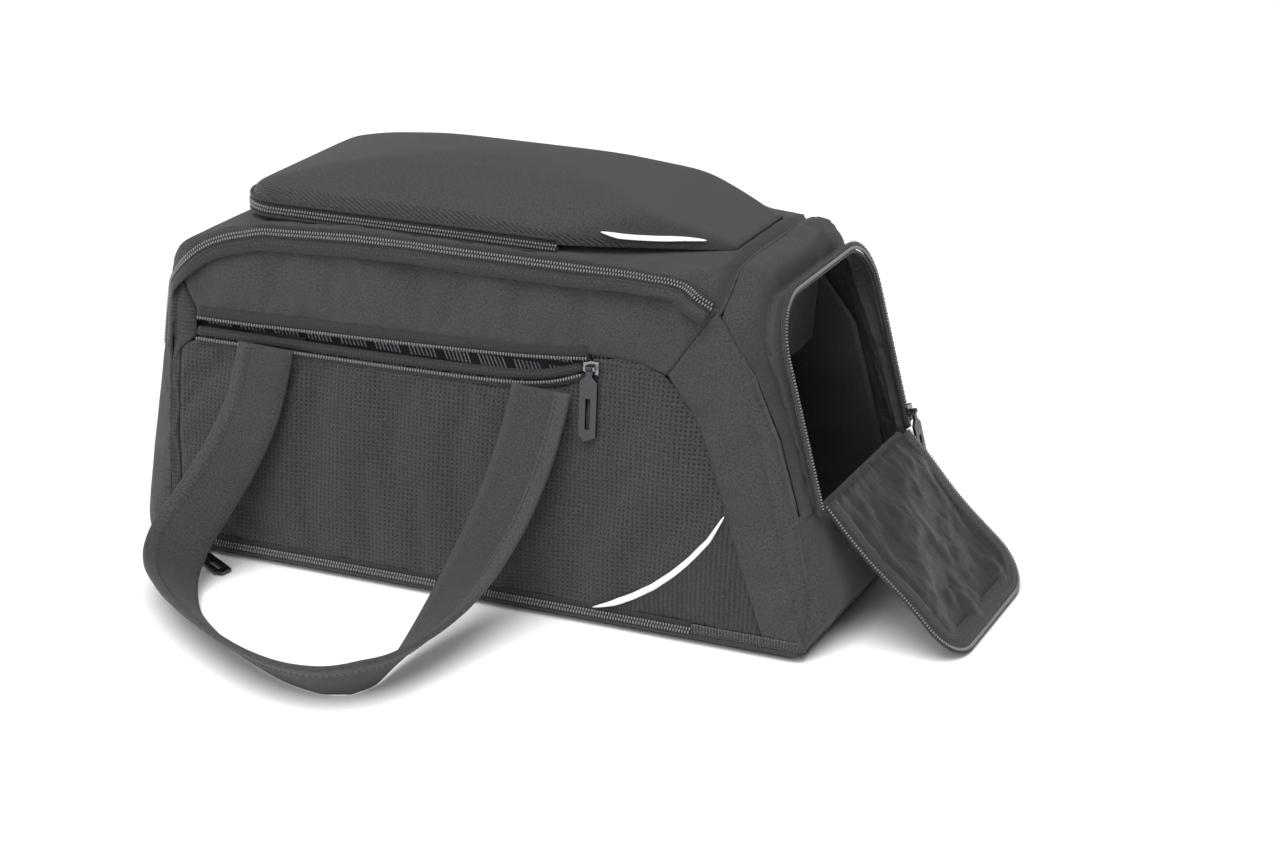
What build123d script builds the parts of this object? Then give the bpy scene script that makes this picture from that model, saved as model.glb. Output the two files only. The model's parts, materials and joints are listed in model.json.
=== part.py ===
from build123d import *
import math
import os

# A weekender bag standing on its base. +X runs along the bag towards the shoe
# compartment, -Y is the side with the loose handle, +Z is up. The origin is the
# middle of the base, on the surface that the bag stands on. All sizes are mm.

# ------------------------------------------------------------ driving dimensions
BASE_HALF_WIDTH = 115.2      # half of the width across the base
SIDE_LEAN = 0.0905           # how far a side wall leans in, per mm of height
LEFT_X = -269.0              # furthest point of the plain end
RIGHT_X = 266.0              # furthest point of the shoe end
SHOULDER_Z = 243.5           # top of the side walls
CREST_Z = 254.0              # middle of the body's top, under the top pocket
SKIN = 2.5                   # thickness of a side panel with its backing
SHELL = 3.0                  # thickness of the end panels and the lid
GAP = 0.3                    # clearance between pieces that move apart
SPAN = 170.0                 # half length of a cutting prism, wider than the bag
CHAIN = 5.0                  # width of one zip tape with its half of the chain

LID_HINGE = (180.0, 254.5)   # x, z of the seam that the lid folds on
END_LOW = (250.0, 98.0)      # x, z of the lower edge of the shoe opening
END_HIGH = (213.0, 243.0)    # x, z of the top of the slanted shoe end
OPENING_HALF_WIDTH = 82.0
OPENING_HEIGHT = 137.0       # along the slanted end
OPENING_CORNER = 34.0
FLAP_LENGTH = 135.4
FLAP_OPENED = 149.9          # degrees that the shoe flap has swung down to the floor

POCKET_TOP_X = (-193.0, 172.0)
POCKET_HALF_WIDTH = 76.0
POCKET_CREST_Z = 293.0
POCKET_ZIP_Z = 250.0
FLAP_HINGE = (60.0, 288.5)   # x, z of the line that the top pocket's cover folds on

LINING_DEPTH = 13.0          # from the outside of a side wall to its pocket lining
SLIT_LOW_Z = 159.0           # lower half of the side pocket's zip, where it is open
SLIT_HIGH_Z = 172.5          # upper half of it
STRAP_WIDTH = 43.0
STRAP_THICKNESS = 3.0

BASE_RIM_Z = 6.0
BASE_ZIP_Z = 14.0
BASE_ZIP_X = (-217.0, 171.0)
MESH_END_X = 228.0


# ------------------------------------------------------------ shaping helpers
def side_face(points, radii=None):
    """A closed outline seen from the side, given as (x, z) points."""
    if radii:
        line = FilletPolyline(*points, radius=radii, close=True)
    else:
        line = Polyline(*points, close=True)
    return Plane.XZ * make_face(line)


def thickened(line, thickness):
    """The outline of a strip that follows an open line."""
    return make_face(offset(line, amount=thickness / 2, kind=Kind.INTERSECTION))


def side_prism(face):
    """Everything that the side outline covers, right across the bag."""
    return extrude(face, amount=SPAN, both=True)


def block(x, y, z):
    """A box from three (low, high) pairs."""
    size = Box(x[1] - x[0], y[1] - y[0], z[1] - z[0])
    return Pos((x[0] + x[1]) / 2, (y[0] + y[1]) / 2, (z[0] + z[1]) / 2) * size


def largest(part):
    """The part without the slivers that a cut leaves beside it."""
    return part.solids().sort_by(SortBy.VOLUME)[-1]


def far_twin(part):
    return mirror(part, about=Plane.XZ)


def wall_y(z, depth=0.0):
    """Distance from the middle to a side wall at height z, depth mm under its skin."""
    return BASE_HALF_WIDTH - SIDE_LEAN * z - depth


def near_slab(outer_depth, inner_depth):
    """The layer of the near side wall between two depths."""
    top = 300.0
    low = -20.0
    outline = Polyline(
        (-wall_y(low, outer_depth), low),
        (-wall_y(low, inner_depth), low),
        (-wall_y(top, inner_depth), top),
        (-wall_y(top, outer_depth), top),
        close=True,
    )
    return extrude(Plane.YZ * make_face(outline), amount=300, both=True)


# ------------------------------------------------------------ the body's form
def shoulder_trims(inset):
    """The two slopes that take the shoulders down towards the shoe end."""
    on_side = Vector(124, -wall_y(244), 244)
    lower = Vector(213, -wall_y(210), 210)
    inner = Vector(213, -58, 247)
    slope = (lower - on_side).cross(inner - on_side).normalized()
    plane = Plane(origin=on_side - slope * inset, z_dir=slope)
    trim = plane * Pos(0, 0, 100) * Box(900, 900, 200)
    return trim + far_twin(trim)


def body_form(inset):
    """The closed outer form of the bag under its lid line, drawn in by inset."""
    outline = side_face(
        [(-249, 0), (LEFT_X, 24), (-248.5, 150), (-247.5, 180), (-232, 222),
         (-187, 240), (-100, 246), (100, 246), (180, 253.5), END_HIGH, END_LOW,
         (RIGHT_X, 33), (246, 0)],
        [6, 14, 90, 24, 30, 60, 200, 200, 60, 5, 30, 14, 18],
    )
    section = Polyline(
        (-wall_y(SHOULDER_Z), SHOULDER_Z), (-wall_y(0), 0), (wall_y(0), 0),
        (wall_y(SHOULDER_Z), SHOULDER_Z),
    )
    crest = ThreePointArc(
        (wall_y(SHOULDER_Z), SHOULDER_Z), (0, CREST_Z), (-wall_y(SHOULDER_Z), SHOULDER_Z)
    )
    section = make_face(Curve() + [section, crest])
    section = fillet(section.vertices().group_by(Axis.Y)[0], 10)
    if inset:
        outline = offset(outline, amount=-inset)
        section = offset(section, amount=-inset)
    section = Plane.YZ * section
    height = 300.0
    foot = RectangleRounded(544 - 2 * inset, 2 * (wall_y(0) - inset), 32 - inset)
    head = RectangleRounded(414 - 2 * inset, 2 * (wall_y(height) - inset), 26 - inset)
    plan = loft([Pos(2, 0, 0) * foot, Pos(-26, 0, height) * head])
    form = extrude(outline, amount=SPAN, both=True) & extrude(section, amount=300, both=True)
    return form & plan - shoulder_trims(inset)


OUTER = body_form(0)
INNER = body_form(SHELL)
SHELL_FORM = OUTER - INNER

# The lid covers everything above this line: over the plain end, along the
# shoulders, and up to the seam across the bag at the shoe end.
LID_LINE = side_face(
    [(-400, 143), (-241, 143), (-240, 190), (-210, 223), (-188, 232), (-160, 239),
     (-91, 243), (124, 243.2), (163, 237), LID_HINGE, (LID_HINGE[0], 400), (-400, 400)]
)
LID_REGION = side_prism(offset(LID_LINE, amount=-GAP / 2))
LID_PANEL_REGION = side_prism(offset(LID_LINE, amount=-CHAIN))
BELOW_LID = OUTER - side_prism(offset(LID_LINE, amount=GAP / 2))
BELOW_LID_ZIP = OUTER - side_prism(offset(LID_LINE, amount=CHAIN))

# The seam between the side panels and the shoe end.
END_SEAM = [(181, 400), (181, 224), (206, 186), (224, 143), (238, 98), (250, 50), (252, -50)]
SHOE_END = side_prism(side_face(END_SEAM + [(400, -50), (400, 400)]))
END_SEAM_X = -236.0


# ------------------------------------------------------------ side panels
POCKET_OUTLINE = side_face(
    [(-213, 156), (-228, 148), (-229, 87), (-225, BASE_ZIP_Z), (221, BASE_ZIP_Z), (191, 95),
     (171, 148), (152, 170), (122, 178), (96, 171), (40, 157)],
)
YOKE_OUTLINE = side_face(
    [(-214, 176), (-233, 222), (-233, 260), (178, 260), (178, 226), (147, 179), (100, 186)],
)
SLIT_REGION = side_face(
    [(-213, SLIT_LOW_Z - 3), (40, SLIT_LOW_Z - 2), (96, 171), (122, 178), (100, 186), (-214, 176)]
)


def near_skin(face, low=BASE_RIM_Z, minus=()):
    """A near side panel: the wall's outer layer inside one outline."""
    panel = BELOW_LID_ZIP & near_slab(0, SKIN) & side_prism(face)
    panel = panel & block((END_SEAM_X, 300), (-SPAN, 0), (low, 300))
    panel = panel - SHOE_END
    for other in minus:
        panel = panel - side_prism(other)
    return panel


def left_panel():
    """The plain panel beside the pocket at the plain end."""
    region = side_face([(END_SEAM_X, 0), (-200, 0), (-200, 300), (END_SEAM_X, 300)])
    pocket = (POCKET_OUTLINE, YOKE_OUTLINE, SLIT_REGION, UPPER_CHAIN, BASE_ZIP_STRIP)
    return near_skin(region, minus=pocket)


def right_panel():
    """The plain panel between the pocket's curve and the shoe end."""
    region = side_face([(100, 0), (300, 0), (300, 300), (100, 300)])
    pocket = (POCKET_OUTLINE, YOKE_OUTLINE, SLIT_REGION, BASE_ZIP_STRIP, MESH_STRIP)
    return near_skin(region, minus=pocket)


BASE_ZIP_STRIP = side_face(
    [(BASE_ZIP_X[0], 0), (BASE_ZIP_X[1], 0), (BASE_ZIP_X[1], BASE_ZIP_Z), (BASE_ZIP_X[0], BASE_ZIP_Z)]
)
MESH_STRIP = side_face(
    [(BASE_ZIP_X[1], 0), (MESH_END_X, 0), (MESH_END_X, BASE_ZIP_Z), (BASE_ZIP_X[1], BASE_ZIP_Z)]
)
UPPER_CHAIN = side_face(
    [(-213, 176), (-214, 171.5), (-130, 171.5), (40, SLIT_HIGH_Z + 3), (94, 181.5), (100, 186)]
)
LOWER_CHAIN = side_face(
    [(-213, 156), (-205, SLIT_LOW_Z), (-90, SLIT_LOW_Z), (40, 162), (94, 175), (122, 178),
     (96, 171), (40, 157)]
)


def pocket_lining():
    """The fabric behind the side pocket, sewn to the yoke and to the base."""
    depth = LINING_DEPTH
    layer = Polyline(
        (-wall_y(233, SHELL + 0.1), 233), (-wall_y(200, depth), 200), (-wall_y(3, depth), 3),
        (-wall_y(3, depth + 2), 3), (-wall_y(198, depth + 2), 198),
        (-wall_y(231, SHELL + 2.6), 231), close=True,
    )
    layer = extrude(Plane.YZ * make_face(layer), amount=300, both=True)
    region = side_face(
        [(-232, 3), (-232, 185), (-205, 218), (-180, 226), (-90, 236), (120, 236), (150, 230),
         (178, 206), (200, 170), (218, 120), (232, 70), (234, 3)]
    )
    return layer & side_prism(region) & body_form(SHELL)


# ------------------------------------------------------------ shoe end
end_rise = Vector(END_HIGH[0] - END_LOW[0], 0, END_HIGH[1] - END_LOW[1]).normalized()
END_PLANE = Plane(
    origin=(END_LOW[0], 0, END_LOW[1]), x_dir=(0, 1, 0), z_dir=(end_rise.Z, 0, -end_rise.X)
)


def opening_face(margin, foot):
    """The shoe opening's outline, margin mm larger, from foot up along the end."""
    half = OPENING_HALF_WIDTH + margin
    top = OPENING_HEIGHT + margin
    corner = OPENING_CORNER + margin
    line = Polyline((-half, top - corner), (-half, foot), (half, foot), (half, top - corner))
    line = Curve() + [
        line,
        RadiusArc((half, top - corner), (half - corner, top), -corner),
        Line((half - corner, top), (corner - half, top)),
        RadiusArc((corner - half, top), (-half, top - corner), -corner),
    ]
    return make_face(line)


def end_prism(face, low=-60.0, high=40.0):
    """The space that an outline on the slanted end covers, from low to high."""
    return END_PLANE * Pos(0, 0, low) * extrude(face, amount=high - low)


def shoe_divider():
    """The fabric wall that keeps the shoes apart from the main compartment."""
    middle = Polyline((184.5, 246), (183, 215), (176, 152), (-62, 138), (-66, 6.4))
    sheet = side_prism(Plane.XZ * thickened(middle, 2.0))
    low = 0.0
    top = 260.0
    room = Polyline(
        (-wall_y(low, LINING_DEPTH + 2.6), low), (wall_y(low, LINING_DEPTH + 2.6), low),
        (wall_y(top, LINING_DEPTH + 2.6), top), (-wall_y(top, LINING_DEPTH + 2.6), top),
        close=True,
    )
    room = extrude(Plane.YZ * make_face(room), amount=300, both=True)
    return sheet & room & body_form(SHELL + 0.2)


def open_flap(part):
    """Swings a piece of the closed flap down to where it rests on the floor."""
    hinge = Axis((END_LOW[0], 0, END_LOW[1]), (0, -1, 0))
    return part.rotate(hinge, -FLAP_OPENED)


def flap_face(margin, foot):
    return opening_face(margin - (OPENING_HEIGHT - FLAP_LENGTH), foot)


# ------------------------------------------------------------ top pocket
def pocket_form(inset):
    """The top pocket's outer form above the lid, drawn in by inset."""
    low_z = 225.0
    crown = side_face(
        [(POCKET_TOP_X[0], low_z), (POCKET_TOP_X[0], 259), (-176, 268), (-140, 278), (-95, 286),
         (-50, 291.5), (-15, POCKET_CREST_Z), (25, 291.5), (62, 286.5), (105, 277),
         (144, 265), (POCKET_TOP_X[1], 254.5), (POCKET_TOP_X[1], low_z)],
    )
    half = POCKET_HALF_WIDTH
    drop = POCKET_CREST_Z - 261
    dome = []
    for step in range(-4, 5):
        across = step / 4
        dome.append((across * half, POCKET_CREST_Z - drop * abs(across) ** 2.3))
    section = make_face(Polyline(*dome, (half, low_z), (-half, low_z), close=True))
    plan = FilletPolyline(
        (POCKET_TOP_X[0], -half), (58, -half), (152, -47), (POCKET_TOP_X[1], -40),
        (POCKET_TOP_X[1], 40), (152, 47), (58, half), (POCKET_TOP_X[0], half),
        radius=[34, 90, 40, 4, 4, 40, 90, 34], close=True,
    )
    plan = make_face(plan)
    if inset:
        crown = offset(crown, amount=-inset, kind=Kind.INTERSECTION)
        section = offset(section, amount=-inset, kind=Kind.INTERSECTION)
        plan = offset(plan, amount=-inset)
    form = extrude(crown, amount=SPAN, both=True)
    form = form & extrude(Plane.YZ * section, amount=300, both=True)
    return form & Pos(0, 0, 200) * extrude(plan, amount=150) - OUTER


POCKET_SHELL = pocket_form(0) - pocket_form(2.0)
COVER_REGION = side_prism(
    side_face([(-300, POCKET_ZIP_Z + GAP), (53, POCKET_ZIP_Z + GAP),
               (FLAP_HINGE[0] - GAP, FLAP_HINGE[1]), (FLAP_HINGE[0] - GAP, 400), (-300, 400)])
)
POCKET_WALL_REGION = side_prism(
    side_face([(-300, 200), (53, 200), (53, POCKET_ZIP_Z), (-300, POCKET_ZIP_Z)])
)
POCKET_FIXED_REGION = side_prism(
    side_face([(53, 200), (300, 200), (300, 400), (FLAP_HINGE[0], 400), FLAP_HINGE,
               (53, POCKET_ZIP_Z)])
)


# ------------------------------------------------------------ zip sliders and pulls
SLIDER_LIFT = 0.5            # the slider's clearance over the tapes
SLIDER_SIZE = (11.0, 9.0, 2.8)
PIN_RADIUS = 0.8
EYE_RADIUS = 2.1
EYE_BORE = 1.15
EYE_HEIGHT = 5.4             # height of the pull's eye over the tapes
PULL_WIDTH = 12.5
BASE_PULL_TURN = 58.0        # how far the base zip's pull has swung from straight out
PULL_THICKNESS = 2.0


def slider_body(pin_along_travel):
    """A cast slider: a waisted plate with two posts that hold the pull's pin.

    Its own frame has x along the zip, z away from the fabric.
    """
    length, width, height = SLIDER_SIZE
    nose = Polyline(
        (-length / 2, -width * 0.32), (0, -width / 2), (length / 2, -width / 2),
        (length / 2, width / 2), (0, width / 2), (-length / 2, width * 0.32), close=True,
    )
    plate = Pos(0, 0, SLIDER_LIFT) * extrude(make_face(nose), amount=height)
    turn = Rot(0, 0, 90 if pin_along_travel else 0)
    posts = Part()
    for side in (-1, 1):
        stem = Box(2.6, 1.4, EYE_HEIGHT + 1.2 - SLIDER_LIFT - height + 0.2)
        middle_z = (EYE_HEIGHT + 1.2 + SLIDER_LIFT + height - 0.2) / 2
        posts += turn * Pos(0, side * 3.4, middle_z) * stem
    pin = turn * Pos(0, 0, EYE_HEIGHT) * Rot(90, 0, 0) * Cylinder(PIN_RADIUS, 6.8)
    return plate + posts + pin


def pull_blade(length, width):
    """The flat of a cast pull along -y, with a slanted tip and a long slot."""
    half = width / 2
    outline = Polyline(
        (-2.3, -5.5), (-half, -9), (-half, -length + 5), (-half + 4, -length), (half, -length + 3.5),
        (half, -9), (2.3, -5.5), close=True,
    )
    blade = Pos(0, 0, -PULL_THICKNESS / 2) * extrude(make_face(outline), amount=PULL_THICKNESS)
    return blade - Pos(0, -length * 0.62, 0) * Box(3.6, length * 0.42, 6)


def pull_tab(length, width=PULL_WIDTH):
    """A pull along -y from its eye at the origin, flat across z; it swings about x."""
    eye = Rot(0, 90, 0) * Cylinder(EYE_RADIUS, 4.6)
    neck = Pos(0, -4.0, 0) * Box(4.6, 5.0, 1.8)
    bore = Rot(0, 90, 0) * Cylinder(EYE_BORE, 8)
    return eye + neck + pull_blade(length, width) - bore


def cranked_pull(length, drop):
    """A pull that swings about z, with its blade drop mm lower than its eye."""
    eye = Cylinder(EYE_RADIUS, 4.6)
    side = Polyline(
        (1.2, 0.9), (4.0, 0.9), (7.4, 1 - drop), (7.4, -1 - drop), (6.0, -1 - drop), (3.0, -0.9),
        (1.2, -0.9), close=True,
    )
    neck = Plane(origin=(0, 0, 0), x_dir=(0, -1, 0), z_dir=(-1, 0, 0)) * make_face(side)
    neck = extrude(neck, amount=2.3, both=True)
    return eye + neck + Pos(0, 0, -drop) * pull_blade(length, PULL_WIDTH) - Cylinder(EYE_BORE, 8)


def wall_plane(x, z, far=False, along=1):
    """A slider's frame on a side wall, its x along the zip."""
    side = 1 if far else -1
    lean = math.atan(SIDE_LEAN)
    outward = (0, side * math.cos(lean), math.sin(lean))
    return Plane(origin=(x, side * wall_y(z), z), x_dir=(along, 0, 0), z_dir=outward)


def eye_place(frame, turn=0):
    """The frame of a pull at its eye: its -y points along the pull, turned from hanging."""
    return frame * Pos(0, 0, EYE_HEIGHT) * Rot(0, 0, turn)


# ------------------------------------------------------------ handles
# Points along the middle of the loose strap, with the direction across its width.
HANDLE_ROUTE = [
    ((-152, -108.6, 162), (1, 0, 0)),
    ((-153, -112.5, 148), (1, 0, 0)),
    ((-158, -121, 118), (0.99, 0, -0.10)),
    ((-168, -135, 87), (0.97, 0.05, -0.20)),
    ((-181, -152, 58), (0.94, 0.10, -0.30)),
    ((-189, -171, 37), (0.85, 0.25, -0.45)),
    ((-183, -194, 23), (0.70, 0.36, -0.62)),
    ((-161, -221, 17), (0.54, 0.46, -0.70)),
    ((-126, -249, 16.5), (0.42, 0.56, -0.70)),
    ((-85, -274, 16.5), (0.35, 0.61, -0.70)),
    ((-45, -292, 16.5), (0.21, 0.67, -0.70)),
    ((-10, -297, 17), (-0.05, 0.68, -0.72)),
    ((14, -285, 18.2), (-0.40, 0.45, -0.76)),
    ((25, -260, 18), (-0.60, 0.16, -0.74)),
    ((28, -230, 23), (-0.78, 0.10, -0.58)),
    ((32, -198, 35), (-0.90, 0.10, -0.36)),
    ((38, -169, 55), (-0.97, 0.08, -0.16)),
    ((46, -145, 83), (-1, 0.05, -0.05)),
    ((53, -126, 116), (-1, 0, 0)),
    ((58, -113.5, 148), (-1, 0, 0)),
    ((59, -108.6, 162), (-1, 0, 0)),
]


def strap_section(point, along, across):
    """The strap's cross-section at one point of its route."""
    across = (across - along * across.dot(along)).normalized()
    plane = Plane(origin=point, x_dir=across, z_dir=along * -1)
    return plane * Rectangle(STRAP_WIDTH, STRAP_THICKNESS)


def near_handle():
    """The strap from one end of the pocket slit to the other, lying in a loop."""
    points = [Vector(*place) for place, across in HANDLE_ROUTE]
    widths = [Vector(*across) for place, across in HANDLE_ROUTE]
    sections = []
    for index, point in enumerate(points):
        before = points[max(index - 1, 0)]
        after = points[min(index + 1, len(points) - 1)]
        sections.append(strap_section(point, (after - before).normalized(), widths[index]))
    return loft(sections, ruled=True)


def handle_ends():
    """The sewn ends of the strap inside the pocket, behind the open zip."""
    ends = Part()
    for x in (-152, 59):
        inside = Polyline(
            (-wall_y(165, 8.4), 165), (-wall_y(162, 8.4), 162), (-wall_y(110, 8.4), 110),
            (-wall_y(110, 11.2), 110), (-wall_y(165, 11.2), 165), close=True,
        )
        strap = extrude(Plane.YZ * make_face(inside), amount=STRAP_WIDTH / 2, both=True)
        ends += Pos(x, 0, 0) * strap
    return ends


def grab_handle():
    """A bowed webbing strap sewn across the plain end."""
    half = 54.0
    bow = Curve() + [
        Line((-half, 0.1), (-half + 12, 0.1)),
        ThreePointArc((-half + 12, 0.1), (0, 10.4), (half - 12, 0.1)),
        Line((half - 12, 0.1), (half, 0.1)),
        Line((half, 0.1), (half, 2.4)),
        Line((half, 2.4), (half - 13, 2.4)),
        ThreePointArc((half - 13, 2.4), (0, 12.7), (-half + 13, 2.4)),
        Line((-half + 13, 2.4), (-half, 2.4)),
        Line((-half, 2.4), (-half, 0.1)),
    ]
    strap = extrude(Plane.XZ * make_face(bow), amount=13, both=True)
    tilt = math.degrees(math.atan2(20.5, 126))
    place = Plane(
        origin=(-257.1, 0, 97), x_dir=(0, 1, 0),
        z_dir=(-math.cos(math.radians(tilt)), 0, math.sin(math.radians(tilt))),
    )
    return place * strap


# ------------------------------------------------------------ the sub-parts
def side_nodes():
    """The near side's layers, with the far side's as their mirror images."""
    near = {
        "yoke_panel": near_skin(YOKE_OUTLINE),
        "pocket_panel": near_skin(POCKET_OUTLINE, low=BASE_ZIP_Z, minus=(LOWER_CHAIN,)),
        "end_side_panel": left_panel(),
        "shoe_side_panel": right_panel(),
        "pocket_zip_upper": near_skin(UPPER_CHAIN, minus=(YOKE_OUTLINE,)),
        "pocket_zip_lower": near_skin(LOWER_CHAIN),
        "pocket_lining": pocket_lining(),
        "handle_anchors": handle_ends(),
        "handle": near_handle(),
    }
    nodes = {}
    for name, part in near.items():
        nodes["near_" + name] = part
        nodes["far_" + name] = far_twin(part)
    return nodes


def base_nodes():
    rim = OUTER & block((-300, 300), (-SPAN, SPAN), (-1, BASE_RIM_Z))
    well = body_form(SHELL) & block((-300, 300), (-SPAN, SPAN), (SHELL, 20))
    board = Pos(-8, 0, 4.1) * extrude(RectangleRounded(430, 192, 20), amount=1.0, both=True)
    zip_strip = near_skin(BASE_ZIP_STRIP)
    return {
        "base_panel": rim - well,
        "base_board": board,
        "base_zip": zip_strip,
        "far_base_binding": far_twin(zip_strip),
        "base_mesh_strips": near_skin(MESH_STRIP) + far_twin(near_skin(MESH_STRIP)),
    }


def end_nodes():
    """The plain end, the shoe end and what is sewn to them."""
    above_rim = block((-300, 400), (-SPAN, SPAN), (BASE_RIM_Z, 400))
    plain_end = BELOW_LID_ZIP & SHELL_FORM & above_rim
    plain_end = plain_end & block((-300, END_SEAM_X), (-SPAN, SPAN), (0, 300))
    shoe_end = SHELL_FORM & SHOE_END & above_rim
    opening = end_prism(opening_face(0, 0))
    zip_band = end_prism(opening_face(CHAIN, 0)) - opening
    upper = shoe_end & block((150, 400), (-SPAN, SPAN), (END_LOW[1] - 1, 400))
    lower = shoe_end & block((150, 400), (-SPAN, SPAN), (0, END_LOW[1] - 1))
    return {
        "plain_end_panel": plain_end,
        "shoe_end_hood": upper - opening - zip_band,
        "shoe_end_zip": (upper & zip_band) - opening,
        "shoe_end_lower_panel": lower - end_prism(opening_face(0, -2)),
        "shoe_divider": shoe_divider(),
        "end_grab_handle": grab_handle(),
    }


def shoe_flap_nodes():
    panel = end_prism(flap_face(-CHAIN, 0.8), -1.6, 0)
    band = end_prism(flap_face(0, 0.8), -1.6, 0) - end_prism(flap_face(-CHAIN, 0.8), -2, 1)
    lining = end_prism(flap_face(-1.5, 0.8), -2.8, -1.6)
    return {
        "shoe_flap_panel": open_flap(panel),
        "shoe_flap_zip": open_flap(band),
        "shoe_flap_lining": open_flap(lining),
    }


def lid_nodes():
    """The lid, the two halves of its zip and the top pocket that it carries."""
    before_seam = block((-300, 158), (-SPAN, SPAN), (100, 300))
    upper_band = (SHELL_FORM & LID_REGION & before_seam) - LID_PANEL_REGION
    inside_edges = wall_y(SHOULDER_Z) - CHAIN
    upper_band = upper_band - block((-236, 300), (-inside_edges, inside_edges), (200, 300))
    lower_band = (SHELL_FORM & BELOW_LID & before_seam) - BELOW_LID_ZIP
    lower_band = lower_band - SHOE_END
    lip = side_face([(-249.5, 176), (-253, 161), (-262.5, 146), (-261, 139), (-250.5, 144)])
    lip = extrude(lip, amount=70, both=True) - OUTER
    cover = POCKET_SHELL & COVER_REGION
    zip_top = block((-300, 300), (-SPAN, SPAN), (POCKET_ZIP_Z, POCKET_ZIP_Z + CHAIN))
    trims = (pocket_form(-0.9) - pocket_form(0)) & side_prism(
        side_face([(84, 255.6), (90, 253.6), (152, 252.4), (150, 256.8), (90, 257.8)])
    )
    return {
        "lid_panel": largest((SHELL_FORM & LID_REGION) - upper_band),
        "lid_zip_upper": upper_band,
        "lid_end_lip": lip,
        "lid_zip_lower": lower_band,
        "top_pocket_panel": POCKET_SHELL & POCKET_FIXED_REGION,
        "top_pocket_zip_lower": POCKET_SHELL & POCKET_WALL_REGION,
        "top_pocket_zip_upper": cover & zip_top,
        "top_pocket_cover": cover - zip_top,
        "top_reflective_trims": trims,
    }


def reflective_side_trims():
    """The reflective cord sewn over the corner of each side pocket."""
    curve = ThreePointArc((101, 15), (152, 45), (192, 93))
    cord = side_prism(Plane.XZ * thickened(curve, 4.5)) & near_slab(-1.4, -0.02)
    cord = cord & block((0, 300), (-SPAN, 0), (0, 200))
    return cord + far_twin(cord)


def zip_nodes():
    """Every slider with its pull, each in its place on its own zip."""
    pocket = wall_plane(93, 179)
    lid_front = wall_plane(-74, 243.2, far=True, along=-1)
    lid_back = wall_plane(-46, 243.2, far=True, along=-1)
    base = Plane(origin=(-211, -wall_y(10), 10), x_dir=(1, 0, 0), z_dir=(0, -1, 0))
    top_z = POCKET_ZIP_Z + 2.2
    top = Plane(origin=(44, POCKET_HALF_WIDTH, top_z), x_dir=(1, 0, 0), z_dir=(0, 1, 0))
    shoe = END_PLANE * Pos(88.5, 10, 0) * Rot(0, 0, 90)
    base_eye = Pos(-211, -wall_y(10) - EYE_HEIGHT, 10) * Rot(0, 0, BASE_PULL_TURN)
    nodes = {}
    for name, frame in (("near_pocket", pocket), ("lid_front", lid_front), ("lid_back", lid_back)):
        heading = Rot(0, 0, 180 if name == "lid_back" else 0)
        nodes[name + "_slider"] = frame * heading * slider_body(True)
        nodes[name + "_pull"] = eye_place(frame) * pull_tab(50)
    nodes["far_pocket_slider"] = far_twin(nodes["near_pocket_slider"])
    nodes["far_pocket_pull"] = far_twin(nodes["near_pocket_pull"])
    nodes["top_pocket_slider"] = top * slider_body(False)
    nodes["top_pocket_pull"] = eye_place(top, -90) * pull_tab(38, 10)
    nodes["shoe_slider"] = shoe * slider_body(False)
    nodes["shoe_pull"] = eye_place(shoe, -90) * pull_tab(42)
    nodes["base_slider"] = base * slider_body(False)
    nodes["base_pull"] = base_eye * cranked_pull(46, 8.2)
    return nodes


def main():
    os.makedirs("parts", exist_ok=True)
    nodes = {}
    for group in (side_nodes, base_nodes, end_nodes, shoe_flap_nodes, lid_nodes, zip_nodes):
        nodes.update(group())
    nodes["side_reflective_trims"] = reflective_side_trims()
    for name, part in nodes.items():
        solids = part.solids()
        print(f"{name:24s} {len(solids)} solids {sum(s.volume for s in solids):10.0f} mm3")
        export_step(part, f"parts/{name}.step")


main()
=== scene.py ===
import json
import math

import bmesh
import bpy
from mathutils import Matrix, Vector, noise
from mathutils.bvhtree import BVHTree

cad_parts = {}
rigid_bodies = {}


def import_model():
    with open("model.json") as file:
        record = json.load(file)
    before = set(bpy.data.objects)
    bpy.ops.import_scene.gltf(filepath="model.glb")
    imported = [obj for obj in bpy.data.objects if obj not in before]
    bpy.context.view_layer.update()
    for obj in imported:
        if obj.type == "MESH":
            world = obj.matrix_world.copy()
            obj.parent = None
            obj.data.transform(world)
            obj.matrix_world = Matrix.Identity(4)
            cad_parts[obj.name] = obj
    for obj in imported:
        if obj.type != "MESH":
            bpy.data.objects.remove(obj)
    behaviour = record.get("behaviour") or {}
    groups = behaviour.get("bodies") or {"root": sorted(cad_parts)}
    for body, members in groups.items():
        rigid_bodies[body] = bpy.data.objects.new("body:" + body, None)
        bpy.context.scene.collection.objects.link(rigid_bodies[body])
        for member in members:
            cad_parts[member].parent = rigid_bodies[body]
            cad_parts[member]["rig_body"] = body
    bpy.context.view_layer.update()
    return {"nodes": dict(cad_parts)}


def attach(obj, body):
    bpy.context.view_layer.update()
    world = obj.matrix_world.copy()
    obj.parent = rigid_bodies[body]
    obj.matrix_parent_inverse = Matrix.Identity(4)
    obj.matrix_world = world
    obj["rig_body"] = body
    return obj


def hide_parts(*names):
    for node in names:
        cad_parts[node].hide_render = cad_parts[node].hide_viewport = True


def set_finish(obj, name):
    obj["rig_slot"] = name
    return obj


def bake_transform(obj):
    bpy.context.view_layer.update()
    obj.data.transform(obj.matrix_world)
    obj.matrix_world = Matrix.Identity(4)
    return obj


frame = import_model()

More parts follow.
